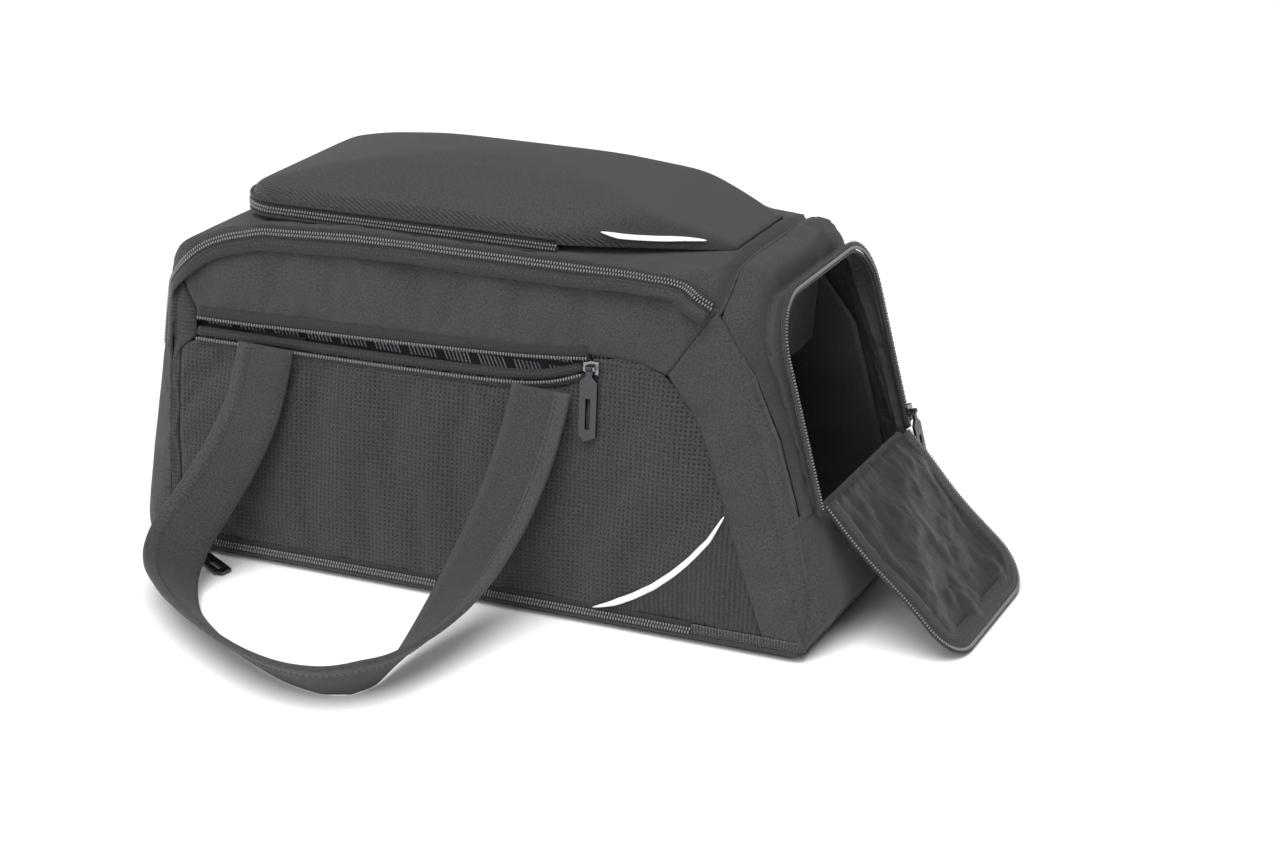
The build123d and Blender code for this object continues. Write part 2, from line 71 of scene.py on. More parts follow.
# ---------------------------------------------------------------- base
# The floor of the bag is a stiff coated fabric over a board, turned up a few
# millimetres all round. A piping is sewn in where the side panels meet it.
MM = 0.001
SHELL_NODES = [
    "near_yoke_panel", "near_pocket_panel", "near_end_side_panel", "near_shoe_side_panel",
    "near_pocket_zip_upper", "near_pocket_zip_lower", "far_yoke_panel", "far_pocket_panel",
    "far_end_side_panel", "far_shoe_side_panel", "far_pocket_zip_upper",
    "far_pocket_zip_lower", "base_panel", "base_zip", "far_base_binding",
    "base_mesh_strips", "plain_end_panel", "shoe_end_hood", "shoe_end_zip",
    "shoe_end_lower_panel", "lid_panel", "lid_zip_upper", "lid_zip_lower",
]
BASE_TONE = (0.012, 0.012, 0.013, 1)
RIM_HEIGHTS = (8.0, 5.0, 2.6, 1.2, 0.5)
DENSE = 720


def skin_of(nodes):
    """The faces of these frame parts as one surface that cloth is laid on."""
    joined = bmesh.new()
    for node in nodes:
        joined.from_mesh(frame["nodes"][node].data)
    return BVHTree.FromBMesh(joined)


SHELL = skin_of(SHELL_NODES)


def touch(skin, start, way):
    """Where a line from start first meets the skin, looking past the thin gaps in it."""
    side = way.orthogonal().normalized() * 0.7 * MM
    up = way.cross(side)
    best = None
    for shift in (Vector(), side, -side, up, -up):
        place, normal, _, far = skin.ray_cast(start + shift, way)
        if place is not None and (best is None or far < best[2] - 0.4 * MM):
            best = (place - shift, normal, far)
    return best


def evenly(points, count):
    """The same line again with its points evenly spaced."""
    reach = [0.0]
    for a, b in zip(points, points[1:]):
        reach.append(reach[-1] + (b - a).length)
    line, leg = [], 0
    for step in range(count):
        at = reach[-1] * step / (count - 1)
        while leg < len(points) - 2 and reach[leg + 1] < at:
            leg += 1
        span = max(reach[leg + 1] - reach[leg], 1e-9)
        line.append(points[leg].lerp(points[leg + 1], min(max((at - reach[leg]) / span, 0), 1)))
    return line


def level_ring(height, count):
    """The outline of the bag at one height, as a ring of points on its skin."""
    middle = Vector((0, 0, height * MM))
    dense = []
    for step in range(DENSE + 1):
        turn = math.tau * step / DENSE
        way = Vector((math.cos(turn), math.sin(turn), 0))
        dense.append(touch(SHELL, middle + way * 0.5, -way)[0])
    return evenly(dense, count)


def laid_grid(rows, uv_of=None):
    """A grid of cloth through rows of points, with a UV map in metres."""
    deep, wide = len(rows), len(rows[0])
    bm = bmesh.new()
    bmesh.ops.create_grid(bm, x_segments=wide - 1, y_segments=deep - 1, size=0.5)
    bm.verts.ensure_lookup_table()
    middle = rows[deep // 2]
    along = [0.0]
    for a, b in zip(middle, middle[1:]):
        along.append(along[-1] + (b - a).length)
    up = [0.0]
    for a, b in zip(rows, rows[1:]):
        up.append(up[-1] + (b[wide // 2] - a[wide // 2]).length)
    for r, row in enumerate(rows):
        for c, point in enumerate(row):
            bm.verts[r * wide + c].co = point
    layer = bm.loops.layers.uv.new("cloth")
    for face in bm.faces:
        for loop in face.loops:
            r, c = divmod(loop.vert.index, wide)
            loop[layer].uv = uv_of(rows[r][c]) if uv_of else (along[c], up[r])
    return bm


def turn_out(bm, inside):
    """Turns the faces so that they look away from a point inside."""
    facing = sum((f.calc_center_median() - inside).dot(f.normal) * f.calc_area()
                 for f in bm.faces)
    if facing < 0:
        bmesh.ops.reverse_faces(bm, faces=bm.faces)


def make_piece(name, bm, material, body, slot, stands_for=(), inside=None, thick=0.0):
    """Turns a bmesh into a finished piece that rides on one body of the frame."""
    bm.normal_update()
    if inside is not None:
        turn_out(bm, Vector(inside) * MM)
    mesh = bpy.data.meshes.new(name)
    bm.to_mesh(mesh)
    bm.free()
    mesh.shade_smooth()
    obj = bpy.data.objects.new(name, mesh)
    bpy.context.scene.collection.objects.link(obj)
    obj.data.materials.append(material)
    if thick:
        wall = obj.modifiers.new("Thickness", "SOLIDIFY")
        wall.thickness = thick * MM
        wall.offset = -1
    if body:
        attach(obj, body)
    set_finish(obj, slot)
    if stands_for:
        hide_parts(*stands_for)
    return obj


def node(tree, kind, **settings):
    """A shader node with its settings; in_2=x sets its input number 2."""
    made = tree.nodes.new(kind)
    for key, value in settings.items():
        if key.startswith("in_"):
            made.inputs[int(key[3:])].default_value = value
        else:
            setattr(made, key, value)
    return made


def maths(tree, operation, first, second=None):
    """One Math node on two sockets or numbers."""
    made = tree.nodes.new("ShaderNodeMath")
    made.operation = operation
    for slot_index, value in enumerate((first, second)):
        if value is None:
            continue
        if isinstance(value, (int, float)):
            made.inputs[slot_index].default_value = value
        else:
            tree.links.new(value, made.inputs[slot_index])
    return made.outputs[0]


def dots(tree, across, up, size):
    """A mask of small round dots on a grid: 1 on a dot."""
    uv = node(tree, "ShaderNodeUVMap", uv_map="cloth")
    scaled = node(tree, "ShaderNodeMapping")
    scaled.inputs["Scale"].default_value = (1 / (across * MM), 1 / (up * MM), 0)
    tree.links.new(uv.outputs[0], scaled.inputs[0])
    part = node(tree, "ShaderNodeVectorMath", operation="FRACTION")
    tree.links.new(scaled.outputs[0], part.inputs[0])
    centred = node(tree, "ShaderNodeVectorMath", operation="SUBTRACT")
    centred.inputs[1].default_value = (0.5, 0.5, 0)
    tree.links.new(part.outputs[0], centred.inputs[0])
    far = node(tree, "ShaderNodeVectorMath", operation="LENGTH")
    tree.links.new(centred.outputs[0], far.inputs[0])
    mask = node(tree, "ShaderNodeMapRange", interpolation_type="SMOOTHSTEP", in_1=size * 0.65,
                in_2=size * 1.3, in_3=1.0, in_4=0.0)
    tree.links.new(far.outputs["Value"], mask.inputs[0])
    return mask.outputs[0]


def ribs(tree, across, up):
    """A wavy height from ribs; across and up are how many ribs go into a millimetre."""
    uv = node(tree, "ShaderNodeUVMap", uv_map="cloth")
    parts = node(tree, "ShaderNodeSeparateXYZ")
    tree.links.new(uv.outputs[0], parts.inputs[0])
    phase = maths(tree, "ADD", maths(tree, "MULTIPLY", parts.outputs[0], across * 1000 * math.tau),
                  maths(tree, "MULTIPLY", parts.outputs[1], up * 1000 * math.tau))
    return maths(tree, "MULTIPLY_ADD", maths(tree, "SINE", phase), 0.5)


def woven(name, tone, thread=0.7, relief=0.5, roughness=0.72, sheen=0.25, figure=None,
          figure_depth=0.5, figure_shade=0.5, slub=0.6, depth=0.3, by_map=True):
    """A woven cloth: threads over and under with painted shade between them, uneven yarn, and a woven
    figure if any.
    """
    material = bpy.data.materials.new(name)
    material.use_nodes = True
    tree = material.node_tree
    shader = tree.nodes["Principled BSDF"]
    shader.inputs["Roughness"].default_value = roughness
    shader.inputs["Sheen Weight"].default_value = sheen
    shader.inputs["Sheen Roughness"].default_value = 0.45
    shader.inputs["Specular IOR Level"].default_value = 0.32
    if by_map:
        spread = node(tree, "ShaderNodeUVMap", uv_map="cloth").outputs[0]
    else:
        spread = node(tree, "ShaderNodeTexCoord").outputs["Object"]
    scaled = node(tree, "ShaderNodeMapping")
    scaled.inputs["Scale"].default_value = (1 / (thread * MM), 1 / (thread * MM), 0)
    tree.links.new(spread, scaled.inputs[0])
    parts = node(tree, "ShaderNodeSeparateXYZ")
    tree.links.new(scaled.outputs[0], parts.inputs[0])
    warp, weft = (maths(tree, "ABSOLUTE", maths(tree, "SINE", maths(tree, "MULTIPLY", way, math.pi)))
                  for way in parts.outputs[:2])
    over = node(tree, "ShaderNodeTexChecker", in_3=1.0)
    over.inputs[1].default_value = (1, 1, 1, 1)
    over.inputs[2].default_value = (0, 0, 0, 1)
    tree.links.new(scaled.outputs[0], over.inputs[0])
    height = node(tree, "ShaderNodeMix", data_type="FLOAT")
    tree.links.new(over.outputs[1], height.inputs[0])
    tree.links.new(warp, height.inputs[2])
    tree.links.new(weft, height.inputs[3])
    yarn = node(tree, "ShaderNodeTexNoise")
    yarn.inputs["Scale"].default_value = 0.45
    yarn.inputs["Detail"].default_value = 2.0
    tree.links.new(scaled.outputs[0], yarn.inputs[0])
    cloudy = node(tree, "ShaderNodeTexNoise")
    cloudy.inputs["Scale"].default_value = 14.0
    cloudy.inputs["Detail"].default_value = 3.0
    tree.links.new(spread, cloudy.inputs[0])
    # The colour is darker where the threads lie low between the crossings: painted shade in the weave's
    # hollows. Uneven yarn and a soft cloudiness then vary the tone at random.
    shade = maths(tree, "MULTIPLY_ADD", height.outputs[0], 0.5)
    shade.node.inputs[2].default_value = 0.75
    yarn_shade = maths(tree, "MULTIPLY_ADD", yarn.outputs[0], slub * 4)
    yarn_shade.node.inputs[2].default_value = 1 - slub * 2
    yarn_shade = maths(tree, "MAXIMUM", yarn_shade, 0.3)
    cloud_shade = maths(tree, "MULTIPLY_ADD", cloudy.outputs[0], 0.3)
    cloud_shade.node.inputs[2].default_value = 0.85
    shade = maths(tree, "MULTIPLY", maths(tree, "MULTIPLY", shade, yarn_shade), cloud_shade)
    relief_height = maths(tree, "MULTIPLY", height.outputs[0], relief)
    if figure:
        mask = figure(tree)
        darker = maths(tree, "SUBTRACT", 1.0, maths(tree, "MULTIPLY", mask, figure_shade))
        shade = maths(tree, "MULTIPLY", shade, darker)
        sunk = maths(tree, "MULTIPLY", mask, figure_depth)
        relief_height = maths(tree, "SUBTRACT", relief_height, sunk)
    colour = node(tree, "ShaderNodeMix", data_type="RGBA", blend_type="MULTIPLY", in_0=1.0)
    colour.inputs[6].default_value = tone
    tree.links.new(shade, colour.inputs[7])
    tree.links.new(colour.outputs[2], shader.inputs["Base Color"])
    bump = node(tree, "ShaderNodeBump")
    bump.inputs["Strength"].default_value = 0.9
    bump.inputs["Distance"].default_value = depth * MM
    tree.links.new(relief_height, bump.inputs["Height"])
    tree.links.new(bump.outputs[0], shader.inputs["Normal"])
    return material


def swept(trail, profile, closed=True, capped=True):
    """A profile of (across, outward) points in mm, carried along a trail of places."""
    rows = []
    around = list(profile) + ([profile[0]] if closed else [])
    for place, ahead, outward in trail:
        side = ahead.cross(outward).normalized()
        rows.append([place + side * a * MM + outward * b * MM for a, b in around])
    bm = laid_grid(rows)
    if closed:
        bmesh.ops.remove_doubles(bm, verts=bm.verts, dist=0.002 * MM)
    if capped:
        rim = [e for e in bm.edges if e.is_boundary]
        if rim:
            bmesh.ops.holes_fill(bm, edges=rim, sides=0)
        bmesh.ops.recalc_face_normals(bm, faces=bm.faces)
    return bm


def trail_of(points, outwards, step):
    """A smooth trail through points: (place, direction ahead, outward direction)."""
    dense, facing = [], []
    last = len(points) - 1
    for leg in range(last):
        a, b, c, d = (points[min(max(leg + k, 0), last)] for k in (-1, 0, 1, 2))
        for k in range(12):
            t = k / 12
            dense.append(0.5 * ((2 * b) + (c - a) * t + (2 * a - 5 * b + 4 * c - d) * t * t
                                + (3 * b - a - 3 * c + d) * t ** 3))
            facing.append(outwards[leg].lerp(outwards[leg + 1], t))
    dense.append(points[-1])
    facing.append(outwards[-1])
    reach = [0.0]
    for a, b in zip(dense, dense[1:]):
        reach.append(reach[-1] + (b - a).length)
    count = max(int(reach[-1] / (step * MM)), 2) + 1
    places = evenly(dense, count)
    ways, leg = [], 0
    for i in range(count):
        at = reach[-1] * i / (count - 1)
        while leg < len(dense) - 2 and reach[leg + 1] < at:
            leg += 1
        span = max(reach[leg + 1] - reach[leg], 1e-9)
        ways.append(facing[leg].lerp(facing[leg + 1], min(max((at - reach[leg]) / span, 0), 1)))
    trail = []
    for i, place in enumerate(places):
        ahead = (places[min(i + 1, count - 1)] - places[max(i - 1, 0)]).normalized()
        out = (ways[i] - ahead * ways[i].dot(ahead)).normalized()
        trail.append((place, ahead, out))
    return trail


def round_profile(radius, lift=0.0, across=0.0, sides=8):
    turns = [math.tau * k / sides for k in range(sides)]
    return [(across + radius * math.cos(t), lift + radius * math.sin(t)) for t in turns]


coated = woven("coated_base_fabric", BASE_TONE, thread=0.9, relief=0.4, roughness=0.55, sheen=0.05)
rings = [level_ring(height, 241) for height in RIM_HEIGHTS]
foot_ring = rings[-1]
for inset in (12, 40, 80):
    rings.append([Vector((p.x * (1 - inset / 270), p.y * (1 - inset / 116), 0.4 * MM)) for p in foot_ring])
base = laid_grid(rings)
bmesh.ops.remove_doubles(base, verts=base.verts, dist=0.01 * MM)
middle_hole = [e for e in base.edges if e.is_boundary and e.verts[0].co.z < 2 * MM]
bmesh.ops.holes_fill(base, edges=middle_hole, sides=0)
make_piece("base_floor", base, coated, "bag", "base_fabric", ["base_panel", "far_base_binding"],
           inside=(0, 0, 60), thick=1.6)

piping_cloth = woven("piping_cloth", (0.016, 0.016, 0.0175, 1), thread=0.8, relief=0.3,
                     roughness=0.6, sheen=0.15)
rim = level_ring(6.0, 161)[:-1]
ring_trail = []
for i, place in enumerate(rim):
    ahead = (rim[(i + 1) % 160] - rim[i - 1]).normalized()
    ring_trail.append((place, ahead, ahead.cross(Vector((0, 0, 1))).normalized()))
ring_trail.append(ring_trail[0])
piping = swept(ring_trail, round_profile(1.5, 0.2), capped=False)
bmesh.ops.remove_doubles(piping, verts=piping.verts, dist=0.01 * MM)
bmesh.ops.recalc_face_normals(piping, faces=piping.faces)
make_piece("base_piping", piping, piping_cloth, "bag", "base_fabric")

board_cover = woven("base_board_cover", (0.03, 0.03, 0.033, 1), thread=0.9, relief=0.3,
                    roughness=0.6, by_map=False)
board = frame["nodes"]["base_board"]
board.data.materials.clear()
board.data.materials.append(board_cover)

# ---------------------------------------------------------------- side panels
# Each side is four panels of backed polyester: a plain yoke under the lid, a large
# pocket in figured cloth, a narrow piece at the plain end and one at the shoe end.
# Their edges are turned in at the seams and the cloth between stands a little full.
PLAIN_TONE = (0.031, 0.0315, 0.034, 1)
POCKET_TONE = (0.029, 0.0295, 0.032, 1)


WALL_FOOT = 115.2
WALL_LEAN = 0.0905


def wall_y(z):
    """Half the bag's width at one height, in mm."""
    return WALL_FOOT - WALL_LEAN * z


def wall_place(x, z, deep=0.0):
    """A point of the near side's skin, deep mm under it, and its outward direction."""
    hit = touch(SHELL, Vector((x * MM, -0.4, z * MM)), Vector((0, 1, 0)))
    wall = Vector((x * MM, -wall_y(z) * MM, z * MM))
    if hit is None or (hit[0].y - wall.y > 6 * MM and -220 < x < 176):
        hit = (wall, Vector((0, -0.996, 0.09)))
    place, normal = hit[0], hit[1]
    return place - normal * deep * MM, normal


def flat(points):
    return [Vector((x, 0, z)) for x, z in points]


def patch(south, north, west, east, wide, deep):
    """Rows of points that fill four edges, as a Coons patch."""
    s, n = evenly(flat(south), wide), evenly(flat(north), wide)
    w, e = evenly(flat(west), deep), evenly(flat(east), deep)
    rows = []
    for j in range(deep):
        v = j / (deep - 1)
        row = []
        for i in range(wide):
            u = i / (wide - 1)
            row.append(s[i] * (1 - v) + n[i] * v + w[j] * (1 - u) + e[j] * u
                       - s[0] * (1 - u) * (1 - v) - s[-1] * u * (1 - v)
                       - n[0] * (1 - u) * v - n[-1] * u * v)
        rows.append(row)
    return rows


def on_wall(rows, tuck=1.5, seed=0.0, rough=0.35):
    """Lays rows of (x, z) on the near wall with their edges tucked into the seams."""
    deep, wide = len(rows), len(rows[0])
    laid = []
    for j, row in enumerate(rows):
        line = []
        for i, p in enumerate(row):
            edge = min(i, j, wide - 1 - i, deep - 1 - j)
            under = tuck if edge == 0 else (0.35 if edge == 1 else 0.0)
            wave = noise.noise(Vector((p.x * 0.03, seed, p.z * 0.04))) * rough if edge > 1 else 0.0
            line.append(wall_place(p.x, p.z, under - wave)[0])
        laid.append(line)
    return laid


def puffed(obj, pressure, slack, cap, frames=18, stiff=12.0, bend=2.0, hold=None):
    """Lets the cloth settle: pinned at its edges, a little too large, pushed from inside."""
    mesh = obj.data
    before = [v.co.copy() for v in mesh.vertices]
    bm = bmesh.new()
    bm.from_mesh(mesh)
    pinned = [v.index for v in bm.verts if v.is_boundary or (hold and hold(v.co))]
    bm.free()
    group = obj.vertex_groups.new(name="sewn")
    group.add(pinned, 1.0, "REPLACE")
    others = list(obj.modifiers)
    for modifier in others:
        modifier.show_viewport = False
    cloth = obj.modifiers.new("Cloth", "CLOTH")
    feel = cloth.settings
    feel.quality = 4
    feel.mass = 0.25
    feel.tension_stiffness = feel.compression_stiffness = stiff
    feel.shear_stiffness = 4.0
    feel.bending_stiffness = bend
    feel.air_damping = 4.0
    feel.vertex_group_mass = "sewn"
    feel.shrink_min = -slack
    feel.use_pressure = True
    feel.uniform_pressure_force = pressure
    feel.effector_weights.gravity = 0.0
    cloth.collision_settings.use_collision = False
    cloth.point_cache.frame_start = 1
    cloth.point_cache.frame_end = frames
    scene = bpy.context.scene
    for step in range(1, frames + 1):
        scene.frame_set(step)
    evaluated = obj.evaluated_get(bpy.context.evaluated_depsgraph_get())
    settled = [v.co.copy() for v in evaluated.data.vertices]
    obj.modifiers.remove(cloth)
    scene.frame_set(1)
    for modifier in others:
        modifier.show_viewport = True
    obj.vertex_groups.remove(group)
    for v, old, new in zip(mesh.vertices, before, settled):
        move = new - old
        far = move.length
        if far > 1e-9:
            v.co = old + move * (cap * MM * math.tanh(far / (cap * MM)) / far)
    mesh.update()
    return obj


def far_copy(obj, name, stands_for):
    """The far side's piece: the near one's mirror image."""
    bm = bmesh.new()
    bm.from_mesh(obj.data)
    bmesh.ops.scale(bm, vec=Vector((1, -1, 1)), verts=bm.verts)
    bmesh.ops.reverse_faces(bm, faces=bm.faces)
    thick = obj.modifiers["Thickness"].thickness / MM if "Thickness" in obj.modifiers else 0.0
    copy = make_piece(name, bm, obj.data.materials[0], None, obj["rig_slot"], stands_for, thick=thick)
    for extra in list(obj.data.materials)[1:]:
        copy.data.materials.append(extra)
    for face, twin in zip(obj.data.polygons, copy.data.polygons):
        twin.material_index = face.material_index
    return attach(copy, obj["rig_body"])


def on_xz(point):
    return (point.x, point.z)


plain = woven("plain_polyester", PLAIN_TONE, thread=0.62, relief=0.6, roughness=0.7, sheen=0.12)
figured = woven("figured_pocket_cloth", POCKET_TONE, thread=0.62, relief=0.5, roughness=0.7,
                sheen=0.12, figure=lambda tree: dots(tree, 3.4, 3.0, 0.25), figure_depth=2.0,
                figure_shade=0.92, depth=0.45)
ribbed = woven("ribbed_pocket_cloth", POCKET_TONE, thread=0.62, relief=0.4, roughness=0.66, sheen=0.12,
               figure=lambda tree: ribs(tree, 0.0, 0.36), figure_depth=1.0, figure_shade=0.45, depth=0.5)

corner_ribs = woven("ribbed_corner_cloth", POCKET_TONE, thread=0.62, relief=0.4, roughness=0.66,
                    sheen=0.12, figure=lambda tree: ribs(tree, 0.30, 0.0), figure_depth=1.0,
                    figure_shade=0.5, depth=0.5)

POCKET_WEST = [(-225, 13), (-229, 87), (-228, 148)]
POCKET_TOP = [(-228, 148), (-222, 153), (-213, 156), (-90, 156.5), (40, 158), (72, 164.5), (86, 172),
              (93, 184), (112, 186.5), (128, 184.8), (144, 180)]
POCKET_EAST = [(221, 13), (206, 53), (191, 95), (171, 148), (157, 168), (144, 180)]
YOKE_FOOT = [(-214, 177), (40, 184), (100, 186.5), (124, 185.5), (146, 180)]
YOKE_TOP = [(-231, 206), (-213, 222), (-190, 231), (-160, 238), (-91, 242), (124, 242),
            (160, 237.5), (179, 227.5)]
END_SEAM = [(251.5, 13), (250, 50), (238, 98), (224, 143), (206, 186), (183, 222.5)]

side_panels = [
    ("pocket_panel", figured, "pocket_dobby",
     patch([(-225, 13), (221, 13)], POCKET_TOP, POCKET_WEST, POCKET_EAST, 150, 56), (1.7, 0.012, 6.5)),
    ("yoke_panel", plain, "plain_weave",
     patch(YOKE_FOOT, YOKE_TOP, [(-214, 177), (-231, 206)], [(146, 180), (179, 227.5)], 150, 24),
     (1.6, 0.010, 4.0)),
    ("end_side_panel", ribbed, "pocket_dobby",
     patch([(-236, 13), (-225, 13)], [(-236, 191), (-231, 206)], [(-236, 13), (-236, 191)],
           POCKET_WEST + [(-214, 158), (-214.5, 177), (-231, 206)], 14, 80), (1.0, 0.006, 2.5)),
    ("shoe_side_panel", plain, "plain_weave",
     patch([(221, 13), (251.5, 13)], [(179, 227.5), (183, 222.5)],
           [(221, 13), (206, 53), (191, 95), (171, 148), (146, 180), (179, 227.5)], END_SEAM, 26, 90),
     (1.6, 0.010, 4.0)),
]
for index, (name, material, slot, rows, (force, slack, cap)) in enumerate(side_panels):
    grid = laid_grid(on_wall(rows, seed=index * 3.7), on_xz)
    panel = make_piece(f"near_{name}_cloth", grid, material, "bag", slot, ["near_" + name],
                       inside=(0, 0, 120), thick=1.2)
    puffed(panel, force, slack, cap)
    if name == "pocket_panel":
        panel.data.materials.append(corner_ribs)
        for face in panel.data.polygons:
            x, z = face.center.x / MM, face.center.z / MM
            if x > 100 and z < 14.5 + 78.5 * (max(x - 100, 0) / 92) ** 1.75:
                face.material_index = 1
    far_copy(panel, f"far_{name}_cloth", ["far_" + name])

# ---------------------------------------------------------------- plain end
# The plain end is one panel that wraps both upright corners. A webbing grab handle
# is bowed across it and sewn down at both ends.


def round_the_end(skin, start, way, count):
    """Points on the skin from the near side, over the face that looks along `way`, to the far side."""
    for back in (0, 1.5, 3, 5, 8):
        edge = touch(skin, start - way * back * MM + Vector((0, -0.5, 0)), Vector((0, 1, 0)))
        if edge is not None and abs(edge[0].y) > 20 * MM:
            break
    near = edge[0]
    half = abs(near.y) - 0.25 * MM
    dense = [near]
    for step in range(1, 120):
        y = half * math.sin(math.pi * (step / 120 - 0.5))
        hit = touch(skin, start + Vector((0, y, 0)) + way * 0.5, -way)
        if hit and (hit[0] - start).dot(way) > 0.3 * MM:
            dense.append(hit[0])
    dense.append(near * Vector((1, -1, 1)))
    return evenly(dense, count)


WEST = Vector((-1, 0, 0))
end_rows = []
for step in range(44):
    z = 7 + (176 - 7) * step / 43
    row = round_the_end(SHELL, Vector((-236 * MM, 0, z * MM)), WEST, 90)
    end_rows.append(row)
plain_end = make_piece("plain_end", laid_grid(end_rows, lambda p: (p.y, p.z)), plain, "bag", "plain_weave",
                       ["plain_end_panel"], inside=(0, 0, 100), thick=1.2)
puffed(plain_end, 1.2, 0.008, 4.0)

webbing = woven("webbing", (0.022, 0.022, 0.024, 1), thread=1.1, relief=1.0, roughness=0.68,
                sheen=0.2, depth=0.4)
tilt = math.atan2(20.5, 126)
grab_out = Vector((-math.cos(tilt), 0, math.sin(tilt)))
grab_trail = []
for step in range(49):
    a = -54 + 108 * step / 48
    bow = 12.0 * max(0.0, 1 - (abs(a) / 42) ** 2.2) if abs(a) < 42 else 0.0
    grab_trail.append(Vector((-257.1, a, 97)) * MM + grab_out * (1.3 + bow * 0.92) * MM)
up_end = Vector((math.sin(tilt), 0, math.cos(tilt)))
grab = []
for i, place in enumerate(grab_trail):
    ahead = (grab_trail[min(i + 1, 48)] - grab_trail[max(i - 1, 0)]).normalized()
    grab.append((place, ahead, ahead.cross(up_end).normalized()))
GRAB_SECTION = [(-13, -0.9), (-13.3, 0), (-13, 0.9), (-6, 1.15), (6, 1.15),
                (13, 0.9), (13.3, 0), (13, -0.9), (6, -1.1), (-6, -1.1)]
make_piece("end_grab_strap", swept(grab, GRAB_SECTION), webbing, "bag", "webbing", ["end_grab_handle"])

# ---------------------------------------------------------------- lid
# The lid is the whole top of the bag with its rounded plain end. It is one backed
# panel that folds on the seam near the shoe end, and zips along both shoulders.
LID_STATIONS = [
    ((-241, 150), 180), ((-241, 172), 178), ((-240, 190), 160), ((-226, 206), 142), ((-210, 222), 124),
    ((-188, 231.5), 106), ((-160, 238.5), 96), ((-91, 242.5), 90), ((0, 242.7), 90), ((124, 242.7), 90),
    ((148, 238.5), 88), ((164, 233), 87), ((181, 225), 86),
]


def stations(points, count):
    """Evenly spaced (start, direction) pairs from ((x, z), degrees above +X) ones."""
    line = evenly([Vector((x * MM, turn * MM, z * MM)) for (x, z), turn in points], count)
    made = []
    for p in line:
        turn = math.radians(p.y / MM)
        made.append((Vector((p.x, 0, p.z)), Vector((math.cos(turn), 0, math.sin(turn)))))
    return made


lid_rows = [round_the_end(SHELL, start, way, 84) for start, way in stations(LID_STATIONS, 110)]
lid = make_piece("lid_top", laid_grid(lid_rows), plain, "lid", "plain_weave", ["lid_panel"],
                 inside=(0, 0, 100), thick=1.4)
puffed(lid, 0.8, 0.004, 2.5, hold=lambda p: abs(p.y) < 0.07 and -0.19 < p.x < 0.16)

LIP_SECTION = [(14, -4.6), (15, -1), (8, 2.4), (0, 3.8), (-7, 3.6), (-11, 0), (-9, -4.6), (0, -5.6)]
lip_trail = []
for y in range(-70, 71, 5):
    place = Vector((-256.0 + 5.0 * (abs(y) / 70) ** 5, y, 152.0)) * MM
    lip_trail.append((place, Vector((0, 1, 0)), Vector((-0.9, 0, 0.43))))
lip = swept(lip_trail, LIP_SECTION)
bmesh.ops.subdivide_edges(lip, edges=lip.edges[:], cuts=1, use_grid_fill=True, smooth=1.0)
make_piece("lid_end_fold", lip, plain, "lid", "plain_weave", ["lid_end_lip"])

# ---------------------------------------------------------------- lid zip
# A coil zip runs from the plain end along both shoulders. Each half is a coil sewn
# to a tape; the lower tape is covered by a folded strip of cloth with a top stitch.
COIL_PITCH = 2.1
COIL_SIZE = (0.70, 1.55, 1.0)
LID_ZIP_LINE = [(-243, 147), (-242.5, 170), (-240, 190), (-228, 206.5), (-210, 222.5), (-190, 231.5),
                (-160, 238.8), (-91, 242.8), (-14, 243.2), (67, 243.2), (124, 243), (147, 240.5),
                (161, 236.5), (176, 229.5)]


def beads(trail, size, across, lift):
    """Small rounded grains set along a trail: coils of a zip, or stitches."""
    bm = bmesh.new()
    for place, ahead, outward in trail:
        ahead = ahead.normalized()
        side = ahead.cross(outward).normalized()
        spot = place + side * across * MM + outward * lift * MM
        axes = (ahead * size[0] * MM, side * size[1] * MM, outward * size[2] * MM)
        shape = Matrix.Translation(spot) @ Matrix(axes).transposed().to_4x4()
        bmesh.ops.create_icosphere(bm, subdivisions=1, radius=1.0, matrix=shape)
    return bm


def every(trail, step, start=0.0):
    """Places along a trail, step mm apart, from start mm on."""
    reach, chosen, want = 0.0, [], start * MM
    for (a, ahead, out), (b, ahead_b, out_b) in zip(trail, trail[1:]):
        long = (b - a).length
        while want <= reach + long:
            t = (want - reach) / max(long, 1e-9)
            chosen.append((a.lerp(b, t), ahead.lerp(ahead_b, t).normalized(),
                           out.lerp(out_b, t).normalized()))
            want += step * MM
        reach += long
    return chosen


def wall_trail(line, step=3.0, tilt_up=0.0, lift=0.0):
    """A trail on the near wall through (x, z) points, leaning its outside upwards."""
    places, outs = [], []
    for p in evenly(flat(line), max(len(line) * 3, 24)):
        place, normal = wall_place(p.x, p.z)
        out = (normal + Vector((0, 0, tilt_up))).normalized()
        places.append(place + out * lift * MM)
        outs.append(out)
    for _ in range(3):
        before, after = outs[:1] + outs[:-1], outs[1:] + outs[-1:]
        outs = [(a + b * 2 + c).normalized() for a, b, c in zip(before, outs, after)]
    return trail_of(places, outs, step)


def mirrored(trail):
    flip = Vector((1, -1, 1))
    return [(p * flip, -(a * flip), o * flip) for p, a, o in reversed(trail)]


def plastic(name, tone, roughness):
    material = bpy.data.materials.new(name)
    material.use_nodes = True
    tree = material.node_tree
    shader = tree.nodes["Principled BSDF"]
    shader.inputs["Roughness"].default_value = roughness
    shader.inputs["Specular IOR Level"].default_value = 0.6
    place = node(tree, "ShaderNodeTexCoord")
    grain = node(tree, "ShaderNodeTexNoise")
    grain.inputs["Scale"].default_value = 900.0
    tree.links.new(place.outputs["Object"], grain.inputs[0])
    shade = node(tree, "ShaderNodeMix", data_type="RGBA")
    shade.inputs[6].default_value = tuple(c * 0.7 for c in tone[:3]) + (1,)
    shade.inputs[7].default_value = tuple(c * 1.3 for c in tone[:3]) + (1,)
    tree.links.new(grain.outputs[0], shade.inputs[0])
    tree.links.new(shade.outputs[2], shader.inputs["Base Color"])
    return material
